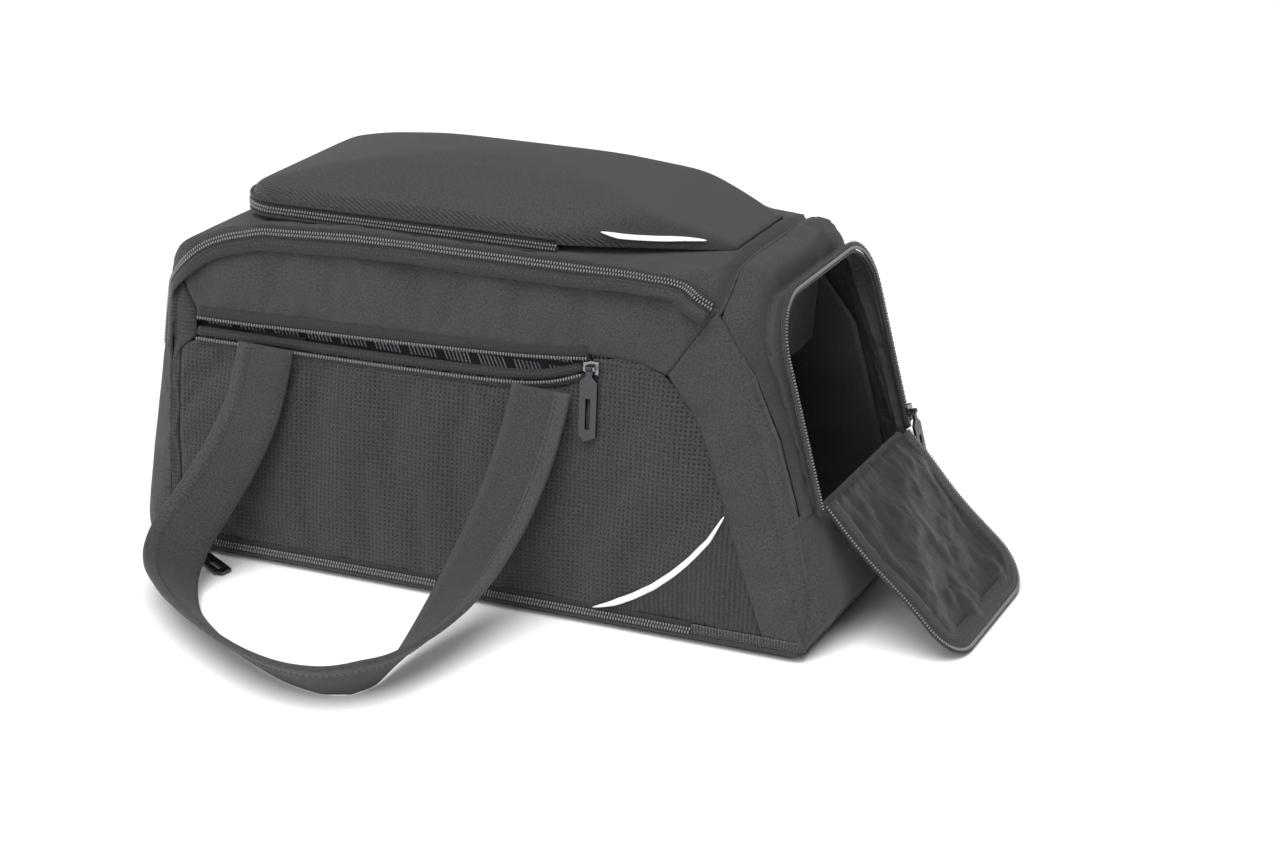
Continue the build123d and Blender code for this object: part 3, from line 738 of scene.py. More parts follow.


# The coil plastic is a lighter grey than the dark coils really are: a painted highlight that stands in for
# the glints along them.
coil = plastic("zip_coil_painted_glints", (0.15, 0.15, 0.155, 1), 0.22)
tape_cloth = woven("zip_tape", (0.014, 0.014, 0.015, 1), thread=0.8, relief=0.6, roughness=0.6, sheen=0.15,
                   figure=lambda tree: ribs(tree, 0.5, 0.0), figure_depth=0.5, figure_shade=0.2)
STITCH = (1.3, 0.28, 0.28)
STITCH_STEP = 3.6
thread_material = plastic("sewing_thread", (0.055, 0.055, 0.06, 1), 0.6)

TAPE = [(0.5, 0.0), (0.5, 0.7), (4.0, 0.7), (5.6, 0.55), (5.6, 0.0)]
FOLD = [(4.8, 0.0), (4.6, 1.4), (5.6, 2.0), (9.5, 1.5), (12.5, 0.9), (13.0, 0.0)]


def other_side(profile):
    return [(-a, b) for a, b in profile]


def join(*parts):
    """Several bmeshes as one."""
    whole = bmesh.new()
    for part in parts:
        mesh = bpy.data.meshes.new("part")
        part.to_mesh(mesh)
        part.free()
        whole.from_mesh(mesh)
        bpy.data.meshes.remove(mesh)
    return whole


def half_zip(trail, side):
    """One row of coils on one side of the trail."""
    grains = every(trail, COIL_PITCH, 0.0 if side > 0 else COIL_PITCH / 2)
    return beads(grains, COIL_SIZE, side * 1.3, 1.45)


def zip_half(name, trail, side, body, stands_for=(), tape=TAPE):
    """A zip half as two pieces, the coils and the tape; side +1 is right of the way ahead."""
    make_piece(name + "_coils", half_zip(trail, side), coil, body, "zip_tape")
    shape = tape if side > 0 else other_side(tape)
    make_piece(name + "_tape", swept(trail, shape), tape_cloth, body, "zip_tape", stands_for)


near_lid_trail = wall_trail(LID_ZIP_LINE, tilt_up=0.45)
for name, trail in (("near", near_lid_trail), ("far", mirrored(near_lid_trail))):
    first = name == "near"
    zip_half(name + "_lid_zip_lower", trail, 1, "bag", ["lid_zip_lower"] if first else ())
    zip_half(name + "_lid_zip_upper", trail, -1, "lid", ["lid_zip_upper"] if first else ())
    make_piece(name + "_lid_zip_fold", swept(trail, FOLD), piping_cloth, "bag", "zip_tape")
    stitch = beads(every(trail, STITCH_STEP), STITCH, 8.2, 1.75)
    make_piece(name + "_lid_fold_stitches", stitch, thread_material, "bag", "zip_tape")

# ---------------------------------------------------------------- side pocket zips
# Each side pocket opens along its top. Its zip stands open, so the upper coil edges
# the yoke, the lower coil edges the pocket, and the lining shows between them.
UPPER_LINE = [(-212.5, 171), (-174, 171.2), (-130, 172.5), (-52, 174.6), (24, 177.6), (60, 180), (90, 183)]
LOWER_LINE = [(-212.5, 158.5), (-135, 158.8), (-51, 159.5), (25, 161.5), (60, 165.5), (86, 174)]


def dashes(tree):
    """Pale slanting dashes woven in rows: 1 on a dash."""
    uv = node(tree, "ShaderNodeUVMap", uv_map="cloth")
    parts = node(tree, "ShaderNodeSeparateXYZ")
    tree.links.new(uv.outputs[0], parts.inputs[0])
    slant = maths(tree, "ADD", parts.outputs[0], maths(tree, "MULTIPLY", parts.outputs[1], 0.45))

    def stripes(value, pitch, above):
        wave = maths(tree, "SINE", maths(tree, "MULTIPLY", value, math.tau / (pitch * MM)))
        return maths(tree, "GREATER_THAN", wave, above)

    line = stripes(slant, 3.0, 0.45)
    gap = stripes(parts.outputs[1], 11, -0.5)
    group = stripes(slant, 27, -0.6)
    high = maths(tree, "GREATER_THAN", parts.outputs[1], 150 * MM)
    near_slit = maths(tree, "LESS_THAN", parts.outputs[0], 130 * MM)
    kept = maths(tree, "MULTIPLY", high, near_slit)
    return maths(tree, "MULTIPLY", maths(tree, "MULTIPLY", line, gap), maths(tree, "MULTIPLY", group, kept))


lining_cloth = woven("figured_lining", (0.020, 0.020, 0.023, 1), thread=0.5, relief=0.3, roughness=0.5,
                     sheen=0.1, figure=dashes, figure_depth=0.0, figure_shade=-17.0)
satin = woven("satin_lining", (0.014, 0.014, 0.016, 1), thread=0.35, relief=0.2, roughness=0.34,
              sheen=0.1)


def slit_trail(line, lift=0.3):
    """A trail just proud of the side wall, bridging the open slit."""
    lean = math.atan(WALL_LEAN)
    out = Vector((0, -math.cos(lean), math.sin(lean)))
    places = [Vector((x, -wall_y(z) - lift, z)) * MM for x, z in line]
    return trail_of(places, [out] * len(line), 3.0)


WIDE_TAPE = [(0.4, -1.6), (0.4, 0.5), (4.5, 0.8), (8.5, 0.9), (9.5, 0.2), (9.5, -1.6)]
FOOT_TAPE = [(0.4, -1.6), (0.4, 0.5), (3.0, 0.7), (5.0, 0.4), (5.0, -1.6)]
SLIT_FOLD = [(-0.8, -2.4), (-0.8, -0.2), (-3, 0.2), (-7.2, -1.2), (-7.2, -2.4)]
for name in ("near", "far"):
    upper, lower = slit_trail(UPPER_LINE), slit_trail(LOWER_LINE)
    if name == "far":
        upper, lower = mirrored(upper), mirrored(lower)
    zip_half(name + "_pocket_zip_top", upper, -1, "bag", [name + "_pocket_zip_upper"], tape=WIDE_TAPE)
    zip_half(name + "_pocket_zip_foot", lower, 1, "bag", [name + "_pocket_zip_lower"], tape=FOOT_TAPE)
    make_piece(name + "_pocket_zip_fold", swept(lower, SLIT_FOLD), tape_cloth, "bag", "zip_tape")
    stitch = beads(every(lower, 3.4), (1.2, 0.28, 0.28), -4.6, -0.3)
    make_piece(name + "_pocket_fold_stitches", stitch, thread_material, "bag", "zip_tape")
    lining_rows = []
    for j in range(48):
        z = 5 + 226 * j / 47
        row = []
        for i in range(90):
            left = -231 if z < 180 else -231 + (z - 180) * 0.8
            right = 233 - max(0, z - 60) * 0.22 - max(0, z - 170) * 0.5
            x = left + (right - left) * i / 89
            deep = 13 - max(0, z - 200) * 0.30
            wave = noise.fractal(Vector((x * 0.02, 5.1, z * 0.03)), 1.0, 2.0, 3)
            wave = wave * 1.6 * min(1, (233 - z) / 30)
            y = wall_y(z) - deep - max(wave, -1.0) * 0.9
            row.append(Vector((x, -y if name == "near" else y, z)) * MM)
        lining_rows.append(row)
    sheet = make_piece(name + "_pocket_lining_cloth", laid_grid(lining_rows, on_xz), lining_cloth,
                       "bag", "lining", [name + "_pocket_lining"], inside=(0, 0, 100), thick=0.6)

# ---------------------------------------------------------------- top pocket
# A domed pocket is sewn on the lid. Its front part is a cover that opens on a zip
# round three sides; a ribbed band runs along its sides, with piping on both edges.
POCKET_SKIN = skin_of(["top_pocket_cover", "top_pocket_zip_upper", "top_pocket_panel"])


def dome_rows(count, wide):
    """Rows over the pocket: a fan round its plain end, then straight across it."""
    fan = [(Vector((-150, 0, 250.4)) * MM, math.radians(180 - 90 * k / 26)) for k in range(26)]
    for k in range(count):
        middle = Vector((-150 + 321 * k / (count - 1), 0, 250.4 + 1.6 * k / (count - 1)))
        fan.append((middle * MM, math.pi / 2))
    rows = []
    for start, turn in fan:
        way = Vector((math.cos(turn), 0, math.sin(turn)))
        rows.append(round_the_end(POCKET_SKIN, start, way, wide))
    return rows


dome = laid_grid(dome_rows(86, 96))
inner = [v for v in dome.verts if not v.is_boundary]
for _ in range(26):
    bmesh.ops.smooth_vert(dome, verts=inner, factor=0.5, use_axis_x=True, use_axis_y=True, use_axis_z=True)
dome_cover = make_piece("top_pocket_dome", dome, plain, None, "plain_weave",
                        ["top_pocket_cover", "top_pocket_zip_upper", "top_pocket_panel"],
                        inside=(0, 0, 240), thick=1.4)
puffed(dome_cover, 1.2, 0.006, 3.5)
band_cloth = woven("ribbed_band_cloth", (0.034, 0.034, 0.037, 1), thread=0.62, relief=0.3,
                   roughness=0.62, sheen=0.2, figure=lambda tree: ribs(tree, 0.34, 0.20),
                   figure_depth=1.6, figure_shade=0.8, depth=0.6)
dome_cover.data.materials.append(band_cloth)
for face in dome_cover.data.polygons:
    if face.center.x < 0.1 and face.center.z < 0.2650 - max(0, face.center.x + 0.02) * 0.08:
        face.material_index = 1
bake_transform(dome_cover)


def pocket_ring(height, grow=0.0):
    """Points and outward directions round the cover's zip, from the near side to the far."""
    half, corner, west = 76 + grow, 34 + grow, -193 - grow
    places, outs = [], []
    for x in (56, 20, -40, -100, -140):
        places.append(Vector((x, -half, height)) * MM)
        outs.append(Vector((0, -1, 0)))
    for k in range(0, 7):
        turn = math.radians(-90 - 15 * k)
        out = Vector((math.cos(turn), math.sin(turn), 0))
        places.append(Vector((west + corner, -half + corner, height)) * MM + out * corner * MM)
        outs.append(out)
    near = list(zip(places, outs))
    far = [(p * Vector((1, -1, 1)), o * Vector((1, -1, 1))) for p, o in reversed(near)]
    whole = near + [(Vector((west, 0, height)) * MM, Vector((-1, 0, 0)))] + far
    return trail_of([p for p, _ in whole], [o for _, o in whole], 3.0)


ring = pocket_ring(249.8)
make_piece("top_pocket_zip_upper_coils", half_zip(ring, -1), coil, "top_pocket_cover", "zip_tape")
UPPER_TAPE = [(-0.5, -3.0), (-0.5, 0.7), (-4.0, 0.7), (-5.6, 0.55), (-5.6, -4.0)]
make_piece("top_pocket_zip_upper_tape", swept(ring, UPPER_TAPE), tape_cloth, "top_pocket_cover", "zip_tape")
make_piece("top_pocket_zip_lower_coils", half_zip(ring, 1), coil, "lid", "zip_tape")
LOWER_TAPE = [(0.5, 0.0), (0.5, 0.7), (3.4, 0.7), (4.6, 0.0), (4.6, -1.0), (0.5, -1.0)]
make_piece("top_pocket_zip_lower_tape", swept(ring, LOWER_TAPE), tape_cloth, "lid", "zip_tape",
           ["top_pocket_zip_lower"])
make_piece("top_pocket_piping_upper", swept(pocket_ring(255.6), round_profile(1.3, 0.5)),
           piping_cloth, "top_pocket_cover", "zip_tape")
make_piece("top_pocket_piping_lower", swept(pocket_ring(245.2, 0.6), round_profile(1.4, 0.3)),
           piping_cloth, "lid", "zip_tape")

# ---------------------------------------------------------------- shoe end
# The shoe end slants back and is opened by an arched zip. A plain hood frames the
# opening, a binding covers its raw edge, and a lower panel runs down to the base.
RISE = Vector((-37, 0, 145)).normalized()
END_OUT = Vector((0.969, 0, 0.247)).normalized()
END_FOOT = Vector((250, 0, 98)) * MM


def arch(margin, foot=0.0, count=81):
    """The opening's outline, margin mm larger, as points on the slanted end."""
    half, top, corner = 82 + margin, 137 + margin, 34 + margin
    line = [Vector((-half, foot, 0)), Vector((-half, top - corner, 0))]
    for k in range(1, 10):
        turn = math.radians(180 - 10 * k)
        across = -half + corner + corner * math.cos(turn)
        line.append(Vector((across, top - corner + corner * math.sin(turn), 0)))
    right = [Vector((-p.x, p.y, 0)) for p in reversed(line)]
    return [END_FOOT + RISE * p.y * MM + Vector((0, p.x * MM, 0)) for p in evenly(line + right, count)]


hood_inner = arch(1.0, -5.0)
HOOD_SEAM = [(240.5, 91), (231, 120), (224, 143), (206, 186), (190, 211), (182, 223.5)]
outer_near = [wall_place(x, z)[0] for x, z in HOOD_SEAM]
top_line = []
for y in range(-84, 85, 12):
    hit = touch(SHELL, Vector((0.1825, y * MM, 0.4)), Vector((0, 0, -1)))
    top_line.append(hit[0])
outer_far = [p * Vector((1, -1, 1)) for p in reversed(outer_near)]
hood_outer = evenly(outer_near + top_line + outer_far, 161)
hood_inner = evenly(hood_inner, 161)
CENTRE = Vector((0.165, 0, 0.165))
hood_rows = []
for j in range(15):
    v = j / 14
    row = []
    for a, b in zip(hood_inner, hood_outer):
        p = a.lerp(b, v)
        way = (p - CENTRE).normalized()
        hit = touch(SHELL, CENTRE + way * 0.4, -way)
        q = hit[0] if hit and (hit[0] - p).length < 0.03 else p
        row.append(q - way * (1.3 * MM if j in (0, 14) else 0))
    hood_rows.append(row)
hood = make_piece("shoe_end_hood_cloth", laid_grid(hood_rows), plain, "bag", "plain_weave",
                  ["shoe_end_hood"], inside=(160, 0, 150), thick=1.2)
puffed(hood, 1.4, 0.010, 3.5)

EAST = Vector((1, 0, 0))
low_rows = []
for step in range(30):
    z = 7 + (95.2 - 7) * step / 29
    seam_x = 250 + (50 - z) * 0.045 if z < 50 else 250 - (z - 50) * 0.25
    low_rows.append(round_the_end(SHELL, Vector((seam_x * MM - 0.006, 0, z * MM)), EAST, 90))
shoe_low = make_piece("shoe_end_foot_cloth", laid_grid(low_rows, lambda p: (p.y, p.z)), plain, "bag",
                      "plain_weave", ["shoe_end_lower_panel"], inside=(150, 0, 60), thick=1.2)
puffed(shoe_low, 1.2, 0.008, 3.0)


def end_trail(margin, foot=0.0, lift=0.4, step=3.0):
    points = arch(margin, foot)
    return trail_of([p + END_OUT * lift * MM for p in points], [END_OUT] * len(points), step)


opening = end_trail(2.2)
zip_half("shoe_end_zip", opening, -1, "bag", ["shoe_end_zip"])
binding_cloth = woven("satin_binding", (0.010, 0.010, 0.011, 1), thread=0.5, relief=0.3,
                      roughness=0.35, sheen=0.1)
EDGE_BINDING = [(-1.4, -1.8), (-1.5, 0.4), (-0.9, 1.1), (-0.1, 0.8), (0.5, 0.1), (0.55, -1.8)]
make_piece("shoe_end_binding", swept(end_trail(0.4), EDGE_BINDING), binding_cloth, "bag", "zip_tape")
FINE_STITCH = (1.3, 0.26, 0.26)
end_stitches = beads(every(end_trail(8.5, lift=0.3), STITCH_STEP), FINE_STITCH, 0, 0.4)
make_piece("shoe_end_stitches", end_stitches, thread_material, "bag", "zip_tape")

divider_line = [Vector((184, 0, 243)), Vector((183, 0, 215)), Vector((176, 0, 153)), Vector((160, 0, 148)),
                Vector((-52, 0, 139.5)), Vector((-62, 0, 136)), Vector((-66, 0, 7))]
divider_rows = []
for p in evenly(divider_line, 90):
    half = wall_y(p.z) - 15.6 - max(0, p.z - 225) * 0.6
    row = []
    for i in range(60):
        y = -half + 2 * half * i / 59
        wave = noise.fractal(Vector((p.x * 0.02, y * 0.03, p.z * 0.03)), 1.0, 2.0, 3) * 3.0
        wave *= min(1.0, i / 6, (59 - i) / 6)
        sway = wave if p.z > 160 or p.x < -60 else 0
        sag = wave * 0.8 if p.z < 160 else 0
        row.append(Vector((p.x + sway, y, p.z + sag)) * MM)
    divider_rows.append(row)
divider = make_piece("shoe_divider_cloth", laid_grid(divider_rows), satin, "bag", "lining",
                     ["shoe_divider"], thick=0.6)

# ---------------------------------------------------------------- shoe flap
# The flap that closes the shoe end hangs open to the floor. It is plain cloth with a
# satin lining, edged by the other half of the zip and a bound tape with two stitch lines.
DOWN = Vector((95, 0, -97.5)).normalized()
FLAP_UP = Vector((97.5, 0, 95)).normalized()


def flap_half(b, edge=0.0):
    """Half the flap's width, b mm from its fold."""
    half, corner, long = 80.4 - edge, 32.4 - edge, 135.4 - edge
    if b <= long - corner:
        return half
    return half - corner + math.sqrt(max(corner ** 2 - (b - long + corner) ** 2, 0.0))


def flap_place(a, b, up=0.0):
    """A point of the flap: a across, b from the fold, up mm above its lining side."""
    swell = 2.2 * math.sin(math.pi * min(b / 135, 1)) * math.sin(math.pi * b / 80 + a * 0.03)
    place = END_FOOT + (DOWN * b + FLAP_UP * (up + 1.0 + swell) + Vector((0, a, 0))) * MM
    place.z = max(place.z, (0.8 + max(up, -0.6)) * MM)
    return place


def flap_cloth(up, edge, waves, count=(70, 70)):
    rows = []
    for j in range(count[1]):
        b = 0.8 + (135.4 - edge - 0.8) * math.sin(math.pi / 2 * j / (count[1] - 1))
        half = flap_half(b, edge)
        row = []
        for i in range(count[0]):
            a = -half + 2 * half * i / (count[0] - 1)
            inner_share = min(1.0, (half - abs(a)) / 14, (135.4 - b) / 14)
            wave = noise.fractal(Vector((a * 0.045, b * 0.03, 2.0)), 1.0, 2.1, 4) * waves * inner_share
            row.append(flap_place(a, b, up + max(wave, -1.0)))
        rows.append(row)
    bm = laid_grid(rows)
    bmesh.ops.remove_doubles(bm, verts=bm.verts, dist=0.01 * MM)
    return bm


flap_outer = make_piece("shoe_flap_cloth", flap_cloth(-1.0, 0.0, 0.4), plain, None, "plain_weave",
                        ["shoe_flap_panel"], thick=1.0)
flap_lining = make_piece("shoe_flap_satin", flap_cloth(1.0, 3.0, 3.4), satin, None, "lining",
                         ["shoe_flap_lining"], thick=0.5)
for part in (flap_outer, flap_lining):
    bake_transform(part)
flap_line = []
for j in range(40):
    b = 1 + 102 * j / 39
    flap_line.append((-flap_half(b), b))
for k in range(1, 10):
    turn = math.radians(180 + 10 * k)
    flap_line.append((-48 + 32.4 * math.cos(turn), 103 - 32.4 * math.sin(turn)))
flap_line += [(-a, b) for a, b in reversed(flap_line)]


def flap_trail(up):
    points = []
    for p in evenly([Vector((a, b, 0)) for a, b in flap_line], 120):
        points.append(flap_place(p.x, p.y * 0.985, up))
    return trail_of(points, [FLAP_UP] * len(points), 3.0)


flap_edge = flap_trail(0.4)
flap_coils = beads(every(flap_edge, COIL_PITCH), COIL_SIZE, -0.4, 0.8)
make_piece("shoe_flap_coils", flap_coils, coil, "shoe_flap", "zip_tape")
FLAP_TAPE = [(0.6, -0.6), (0.6, 0.5), (-6, 1.8), (-12, 2.0), (-15, 1.6), (-15, -0.6)]
make_piece("shoe_flap_tape", swept(flap_edge, FLAP_TAPE), tape_cloth, "shoe_flap", "zip_tape",
           ["shoe_flap_zip"])
stitch_places = every(flap_edge, STITCH_STEP)
flap_stitches = join(*[beads(stitch_places, FINE_STITCH, across, 2.0) for across in (-6.0, -13.0)])
make_piece("shoe_flap_stitches", flap_stitches, thread_material, "shoe_flap", "zip_tape")

# ---------------------------------------------------------------- base zip
# A zip runs along the foot of the near side and closes an expansion gusset. A strip
# of open mesh carries on from it to the shoe end.
base_trail = wall_trail([(-238, 10), (-100, 10), (50, 10), (171, 10)])
for side, label in ((1, "foot"), (-1, "top")):
    zip_half("base_zip_" + label, base_trail, side, "bag", ["base_zip"] if side > 0 else ())


def foot_strip(west, east, count, proud, side):
    """Rows of points along the foot of one side, for a strip of tape or mesh."""
    flip = Vector((1, side, 1))
    return [[wall_place(west + (east - west) * i / (count - 1), z, -proud)[0] * flip
             for i in range(count)] for z in (5.5, 8, 11, 14.5)]


make_piece("far_base_tape", laid_grid(foot_strip(-238, 171, 120, 0.4, -1), on_xz), piping_cloth,
           "bag", "base_fabric", inside=(0, 0, 60), thick=0.8)
mesh_cloth = woven("open_mesh", (0.030, 0.030, 0.032, 1), thread=1.6, relief=1.0, roughness=0.6,
                   figure=lambda tree: dots(tree, 2.2, 2.2, 0.36), figure_depth=2.0,
                   figure_shade=0.9, depth=0.8)
for name, side in (("near", 1), ("far", -1)):
    rows = foot_strip(171, 250, 30, 0.3, side)
    make_piece(name + "_mesh_strip", laid_grid(rows, on_xz), mesh_cloth, "bag", "mesh",
               ["base_mesh_strips"] if side > 0 else (), inside=(200, 0, 40), thick=0.8)

# ---------------------------------------------------------------- reflective trims
# White reflective cords: one over the corner of each side pocket, and two short
# leaves beside the top pocket.


reflective = bpy.data.materials.new("reflective_cord")
reflective.use_nodes = True
tree = reflective.node_tree
shader = tree.nodes["Principled BSDF"]
shader.inputs["Roughness"].default_value = 0.4
cord_map = node(tree, "ShaderNodeUVMap", uv_map="cloth")
grains = node(tree, "ShaderNodeTexVoronoi")
grains.inputs["Scale"].default_value = 1400.0
tree.links.new(cord_map.outputs[0], grains.inputs[0])
shade = node(tree, "ShaderNodeMapRange", in_1=0.0, in_2=0.7, in_3=0.86, in_4=0.70)
tree.links.new(grains.outputs["Distance"], shade.inputs[0])
grey = node(tree, "ShaderNodeCombineColor")
for socket in range(3):
    tree.links.new(shade.outputs[0], grey.inputs[socket])
tree.links.new(grey.outputs[0], shader.inputs["Base Color"])


def leaf(trail, widest, proud):
    """A cord that is pointed at its start and narrows towards its end."""
    rows = []
    last = len(trail) - 1
    for i, (place, ahead, outward) in enumerate(trail):
        t = i / last
        point, tail = min(1.0, (t / 0.16) ** 0.7), min(1.0, ((1 - t) / 0.35) ** 0.5)
        width = widest / 2 * point * tail + 0.15
        side = ahead.cross(outward).normalized()
        row = []
        for k in range(9):
            turn = math.pi * k / 8
            up = proud * math.sin(turn) * min(1, width) - 0.3
            row.append(place + side * width * math.cos(turn) * MM + outward * up * MM)
        rows.append(row)
    return laid_grid(rows)


SIDE_CURVE = [(100, 14.5), (113, 19), (128, 26.5), (143, 36), (157, 47.5), (170, 60.5), (182, 75),
              (192, 93)]
cord_trail = wall_trail(SIDE_CURVE, step=2.0, lift=3.2)
far_cord = [(place, -ahead, out) for place, ahead, out in reversed(mirrored(cord_trail))]
for name, trail in (("near", cord_trail), ("far", far_cord)):
    make_piece(name + "_side_reflective", leaf(trail, 4.2, 1.5), reflective, "bag", "reflective",
               ["side_reflective_trims"] if name == "near" else (), inside=(0, 0, 60))
TOP_CURVE = [(84, -66.5, 259), (98, -63.5, 258.3), (118, -57, 257.2), (136, -50.5, 256.3),
             (151, -45.5, 255.3)]
for name, side in (("near", 1), ("far", -1)):
    flip = Vector((1, side, 1))
    outward = Vector((0.2, -0.55, 0.8)).normalized() * flip
    places = []
    for point in TOP_CURVE:
        aim = Vector(point) * flip * MM
        hit = touch(POCKET_SKIN, aim + outward * 0.1, -outward)
        places.append((hit[0] if hit else aim) + outward * 1.2 * MM)
    trail = trail_of(places, [outward] * len(places), 2.0)
    make_piece(name + "_top_reflective", leaf(trail, 4.2, 1.0), reflective, "lid", "reflective",
               ["top_reflective_trims"] if side > 0 else (), inside=(100, 0, 200))

# ---------------------------------------------------------------- carrying handles
# Two straps of folded cloth run from one end of each pocket slit to the other. The
# outer edge is bound by a folded strip with a line of stitches along it.
HANDLE_ROUTE = [
    ((-152, -108.6, 162), (1, 0, 0)), ((-153, -112.5, 148), (1, 0, 0)),
    ((-158, -121, 118), (0.99, 0, -0.10)),
    ((-168, -135, 87), (0.97, 0.05, -0.20)), ((-181, -152, 58), (0.94, 0.10, -0.30)),
    ((-189, -171, 37), (0.85, 0.25, -0.45)), ((-183, -194, 23), (0.70, 0.36, -0.62)),
    ((-161, -221, 17), (0.54, 0.46, -0.70)), ((-126, -249, 16.5), (0.42, 0.56, -0.70)),
    ((-85, -274, 16.5), (0.35, 0.61, -0.70)), ((-45, -292, 16.5), (0.21, 0.67, -0.70)),
    ((-10, -297, 17), (-0.05, 0.68, -0.72)), ((14, -285, 18.2), (-0.40, 0.45, -0.76)),
    ((25, -260, 18), (-0.60, 0.16, -0.74)), ((28, -230, 23), (-0.78, 0.10, -0.58)),
    ((32, -198, 35), (-0.90, 0.10, -0.36)), ((38, -169, 55), (-0.97, 0.08, -0.16)),
    ((46, -145, 83), (-1, 0.05, -0.05)), ((53, -126, 116), (-1, 0, 0)),
    ((58, -113.5, 148), (-1, 0, 0)), ((59, -108.6, 162), (-1, 0, 0)),
]
STRAP_TONE = (0.027, 0.0275, 0.0295, 1)
strap_cloth = woven("strap_cloth", STRAP_TONE, thread=0.62, relief=0.6, roughness=0.7, sheen=0.12)
dark_thread = plastic("dark_thread", (0.006, 0.006, 0.007, 1), 0.6)
anchor_cloth = woven("anchor_cloth", STRAP_TONE, thread=0.62, relief=0.6, roughness=0.7, sheen=0.12,
                     by_map=False)
# The binding is a lighter grey than the strap it edges: a painted highlight for the edge that catches the
# light from above.
strap_binding_painted_highlight = woven("strap_binding_painted_highlight", (0.037, 0.0375, 0.040, 1), thread=0.7, relief=0.7,
                      roughness=0.66, sheen=0.12)


def strap_trail(step=4.0):
    """Places along the strap: its middle, its way ahead, and the way its face looks."""
    points = [Vector(p) * MM for p, _ in HANDLE_ROUTE]
    faces = []
    for i, (_, width) in enumerate(HANDLE_ROUTE):
        ahead = (points[min(i + 1, 20)] - points[max(i - 1, 0)]).normalized()
        across = Vector(width)
        across = (across - ahead * across.dot(ahead)).normalized()
        faces.append(across.cross(ahead))
    return trail_of(points, faces, step)


STRAP = [(-21.2, -1.0), (-21.5, 0), (-21.2, 1.0), (-14, 1.35), (0, 1.4), (14, 1.35),
         (21.2, 1.0), (21.5, 0), (21.2, -1.0), (14, -1.35), (0, -1.4), (-14, -1.35)]
BINDING = [(21.9, 0.0), (21.7, 1.6), (20.6, 2.1), (11.6, 2.0), (11.0, 1.3),
           (11.0, -1.3), (11.6, -2.0), (20.6, -2.1), (21.7, -1.6)]
handle = strap_trail()
sideways = handle[0][1].cross(handle[0][2]).normalized()
outer_side = -1 if sideways.dot(Vector((1, 0, 0))) > 0 else 1
edge_section = BINDING if outer_side > 0 else other_side(BINDING)
for name in ("near", "far"):
    trail = handle if name == "near" else mirrored(handle)
    body = name + "_handle"
    strap = make_piece(name + "_handle_strap", swept(trail, STRAP), strap_cloth, body, "webbing", [body])
    edge = make_piece(name + "_handle_binding", swept(trail, edge_section), strap_binding_painted_highlight, body, "webbing")
    for lift, label in ((2.0, "front"), (-2.0, "back")):
        stitch = beads(every(trail, STITCH_STEP), (1.4, 0.55, 0.42), 13.2 * outer_side, lift)
        make_piece(f"{name}_handle_stitches_{label}", stitch, dark_thread, body, "webbing")
    anchors = frame["nodes"][name + "_handle_anchors"]
    anchors.data.materials.clear()
    anchors.data.materials.append(anchor_cloth)
    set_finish(anchors, "webbing")

# ---------------------------------------------------------------- sliders and pulls
# Every zip has a cast slider with a flat pull in dark polished metal, slotted along
# its middle and cut on a slant at its tip.


def cast_metal(name, low, high):
    material = bpy.data.materials.new(name)
    material.use_nodes = True
    tree = material.node_tree
    shader = tree.nodes["Principled BSDF"]
    shader.inputs["Metallic"].default_value = 1.0
    place = node(tree, "ShaderNodeTexCoord")
    worn = node(tree, "ShaderNodeTexNoise")
    worn.inputs["Scale"].default_value = 260.0
    worn.inputs["Detail"].default_value = 4.0
    tree.links.new(place.outputs["Object"], worn.inputs[0])
    rough = node(tree, "ShaderNodeMapRange", in_1=0.3, in_2=0.7, in_3=0.22, in_4=0.40)
    tree.links.new(worn.outputs[0], rough.inputs[0])
    tree.links.new(rough.outputs[0], shader.inputs["Roughness"])
    tone = node(tree, "ShaderNodeMix", data_type="RGBA")
    tone.inputs[6].default_value = low
    tone.inputs[7].default_value = high
    tree.links.new(worn.outputs[0], tone.inputs[0])
    tree.links.new(tone.outputs[2], shader.inputs["Base Color"])
    return material


slider_metal = cast_metal("slider_metal", (0.20, 0.20, 0.21, 1), (0.34, 0.34, 0.355, 1))
pull_metal = cast_metal("pull_metal", (0.055, 0.055, 0.06, 1), (0.10, 0.10, 0.108, 1))
for zip_name in ("near_pocket", "far_pocket", "lid_front", "lid_back", "top_pocket", "shoe", "base"):
    for part in ("slider", "pull"):
        node_name = f"{zip_name}_{part}"
        cast = bmesh.new()
        cast.from_mesh(frame["nodes"][node_name].data)
        bmesh.ops.remove_doubles(cast, verts=cast.verts, dist=0.005 * MM)
        bmesh.ops.dissolve_limit(cast, angle_limit=math.radians(2), verts=cast.verts, edges=cast.edges)
        sharp = [e for e in cast.edges if e.is_manifold and e.calc_face_angle(0) > math.radians(35)]
        bmesh.ops.bevel(cast, geom=sharp, offset=0.28 * MM, segments=2, profile=0.5, affect="EDGES",
                        clamp_overlap=True, material=-1)
        metal = slider_metal if part == "slider" else pull_metal
        piece = make_piece(node_name + "_cast", cast, metal, node_name, "slider_metal", [node_name])
        piece.data.shade_flat()

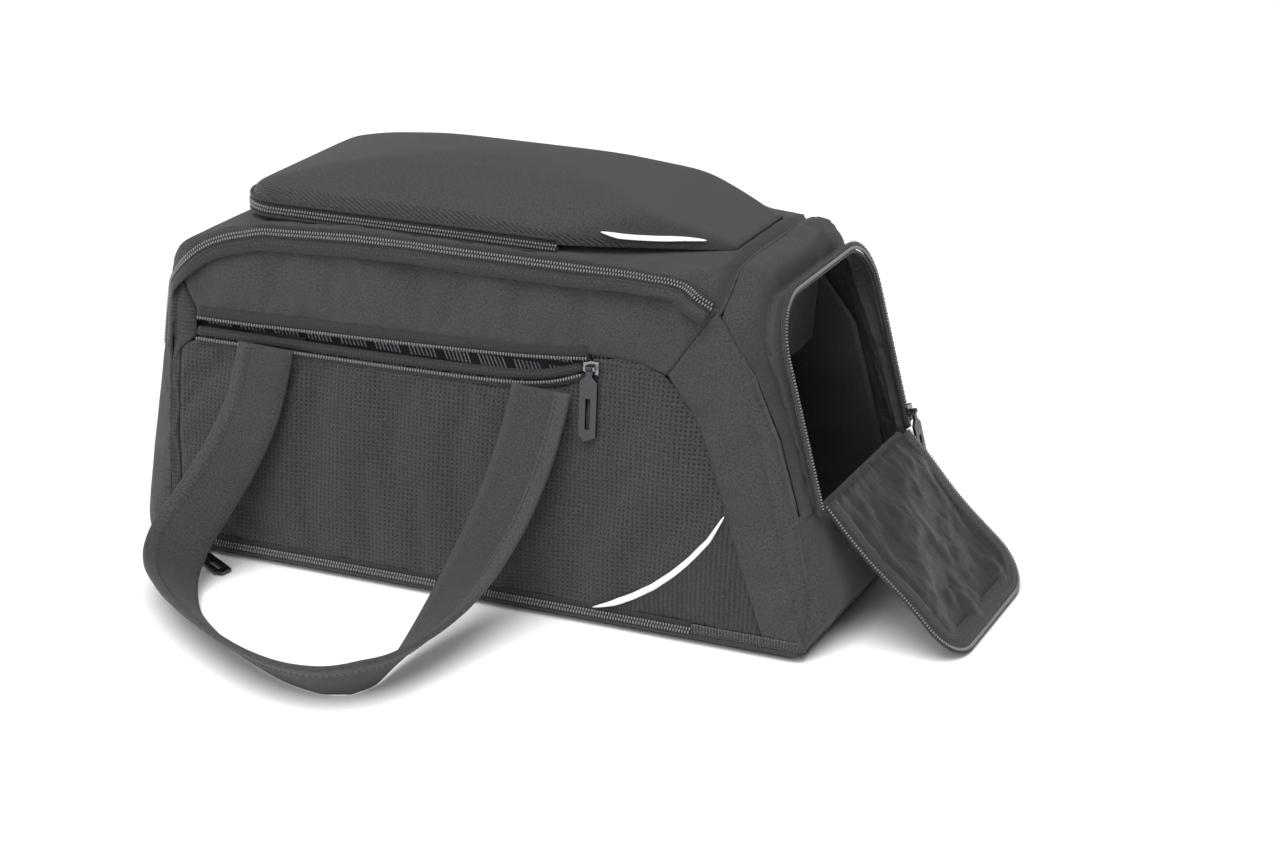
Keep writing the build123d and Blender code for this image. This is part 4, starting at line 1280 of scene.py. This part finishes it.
# ---------------------------------------------------------------- studio
# A pale floor that runs out of sight, soft lights in front of the near side and off
# the shoe end, a broad light from above, and the camera a little above the bag.
floor_material = bpy.data.materials.new("studio_floor")
floor_material.use_nodes = True
floor_shader = floor_material.node_tree.nodes["Principled BSDF"]
floor_shader.inputs["Base Color"].default_value = (0.93, 0.93, 0.93, 1)
floor_shader.inputs["Roughness"].default_value = 0.9
floor_mesh = bmesh.new()
bmesh.ops.create_grid(floor_mesh, x_segments=1, y_segments=1, size=30,
                      matrix=Matrix.Translation((0, 0, -0.4 * MM)))
floor_data = bpy.data.meshes.new("floor")
floor_mesh.to_mesh(floor_data)
floor_mesh.free()
floor_data.materials.append(floor_material)
floor = bpy.data.objects.new("floor", floor_data)
bpy.context.scene.collection.objects.link(floor)


def soft_light(name, place, aim, size, power):
    data = bpy.data.lights.new(name, "AREA")
    data.shape = "RECTANGLE"
    data.size, data.size_y = size
    data.energy = power
    lamp = bpy.data.objects.new(name, data)
    bpy.context.scene.collection.objects.link(lamp)
    lamp.location = place
    lamp.rotation_mode = "QUATERNION"
    lamp.rotation_quaternion = (Vector(aim) - Vector(place)).to_track_quat("-Z", "Y")


soft_light("front", (0.1, -2.5, 1.5), (0, 0, 0.1), (1.8, 1.8), 34)
soft_light("side", (2.4, -0.4, 1.1), (0.1, 0, 0.1), (1.2, 1.4), 9)
daylight_data = bpy.data.lights.new("ceiling", "SUN")
daylight_data.energy = 3.0
daylight_data.angle = math.radians(45)
daylight = bpy.data.objects.new("ceiling", daylight_data)
bpy.context.scene.collection.objects.link(daylight)
daylight.rotation_mode = "QUATERNION"
daylight.rotation_quaternion = Vector((-0.12, 0.40, -0.90)).to_track_quat("-Z", "Y")

world = bpy.data.worlds.new("studio_air")
world.use_nodes = True
world.node_tree.nodes["Background"].inputs[0].default_value = (1.0, 1.0, 1.0, 1)
world.node_tree.nodes["Background"].inputs[1].default_value = 0.30
bpy.context.scene.world = world
bpy.context.scene.view_settings.view_transform = "Standard"

camera_data = bpy.data.cameras.new("camera")
camera_data.lens = 80
camera_data.sensor_width = 36
camera = bpy.data.objects.new("camera", camera_data)
bpy.context.scene.collection.objects.link(camera)
camera.location = (0.8497, -1.6963, 0.7957)
camera.rotation_mode = "QUATERNION"
camera.rotation_quaternion = (Vector((0.108, -0.0571, 0.1255)) - camera.location).to_track_quat("-Z", "Y")
bpy.context.scene.camera = camera
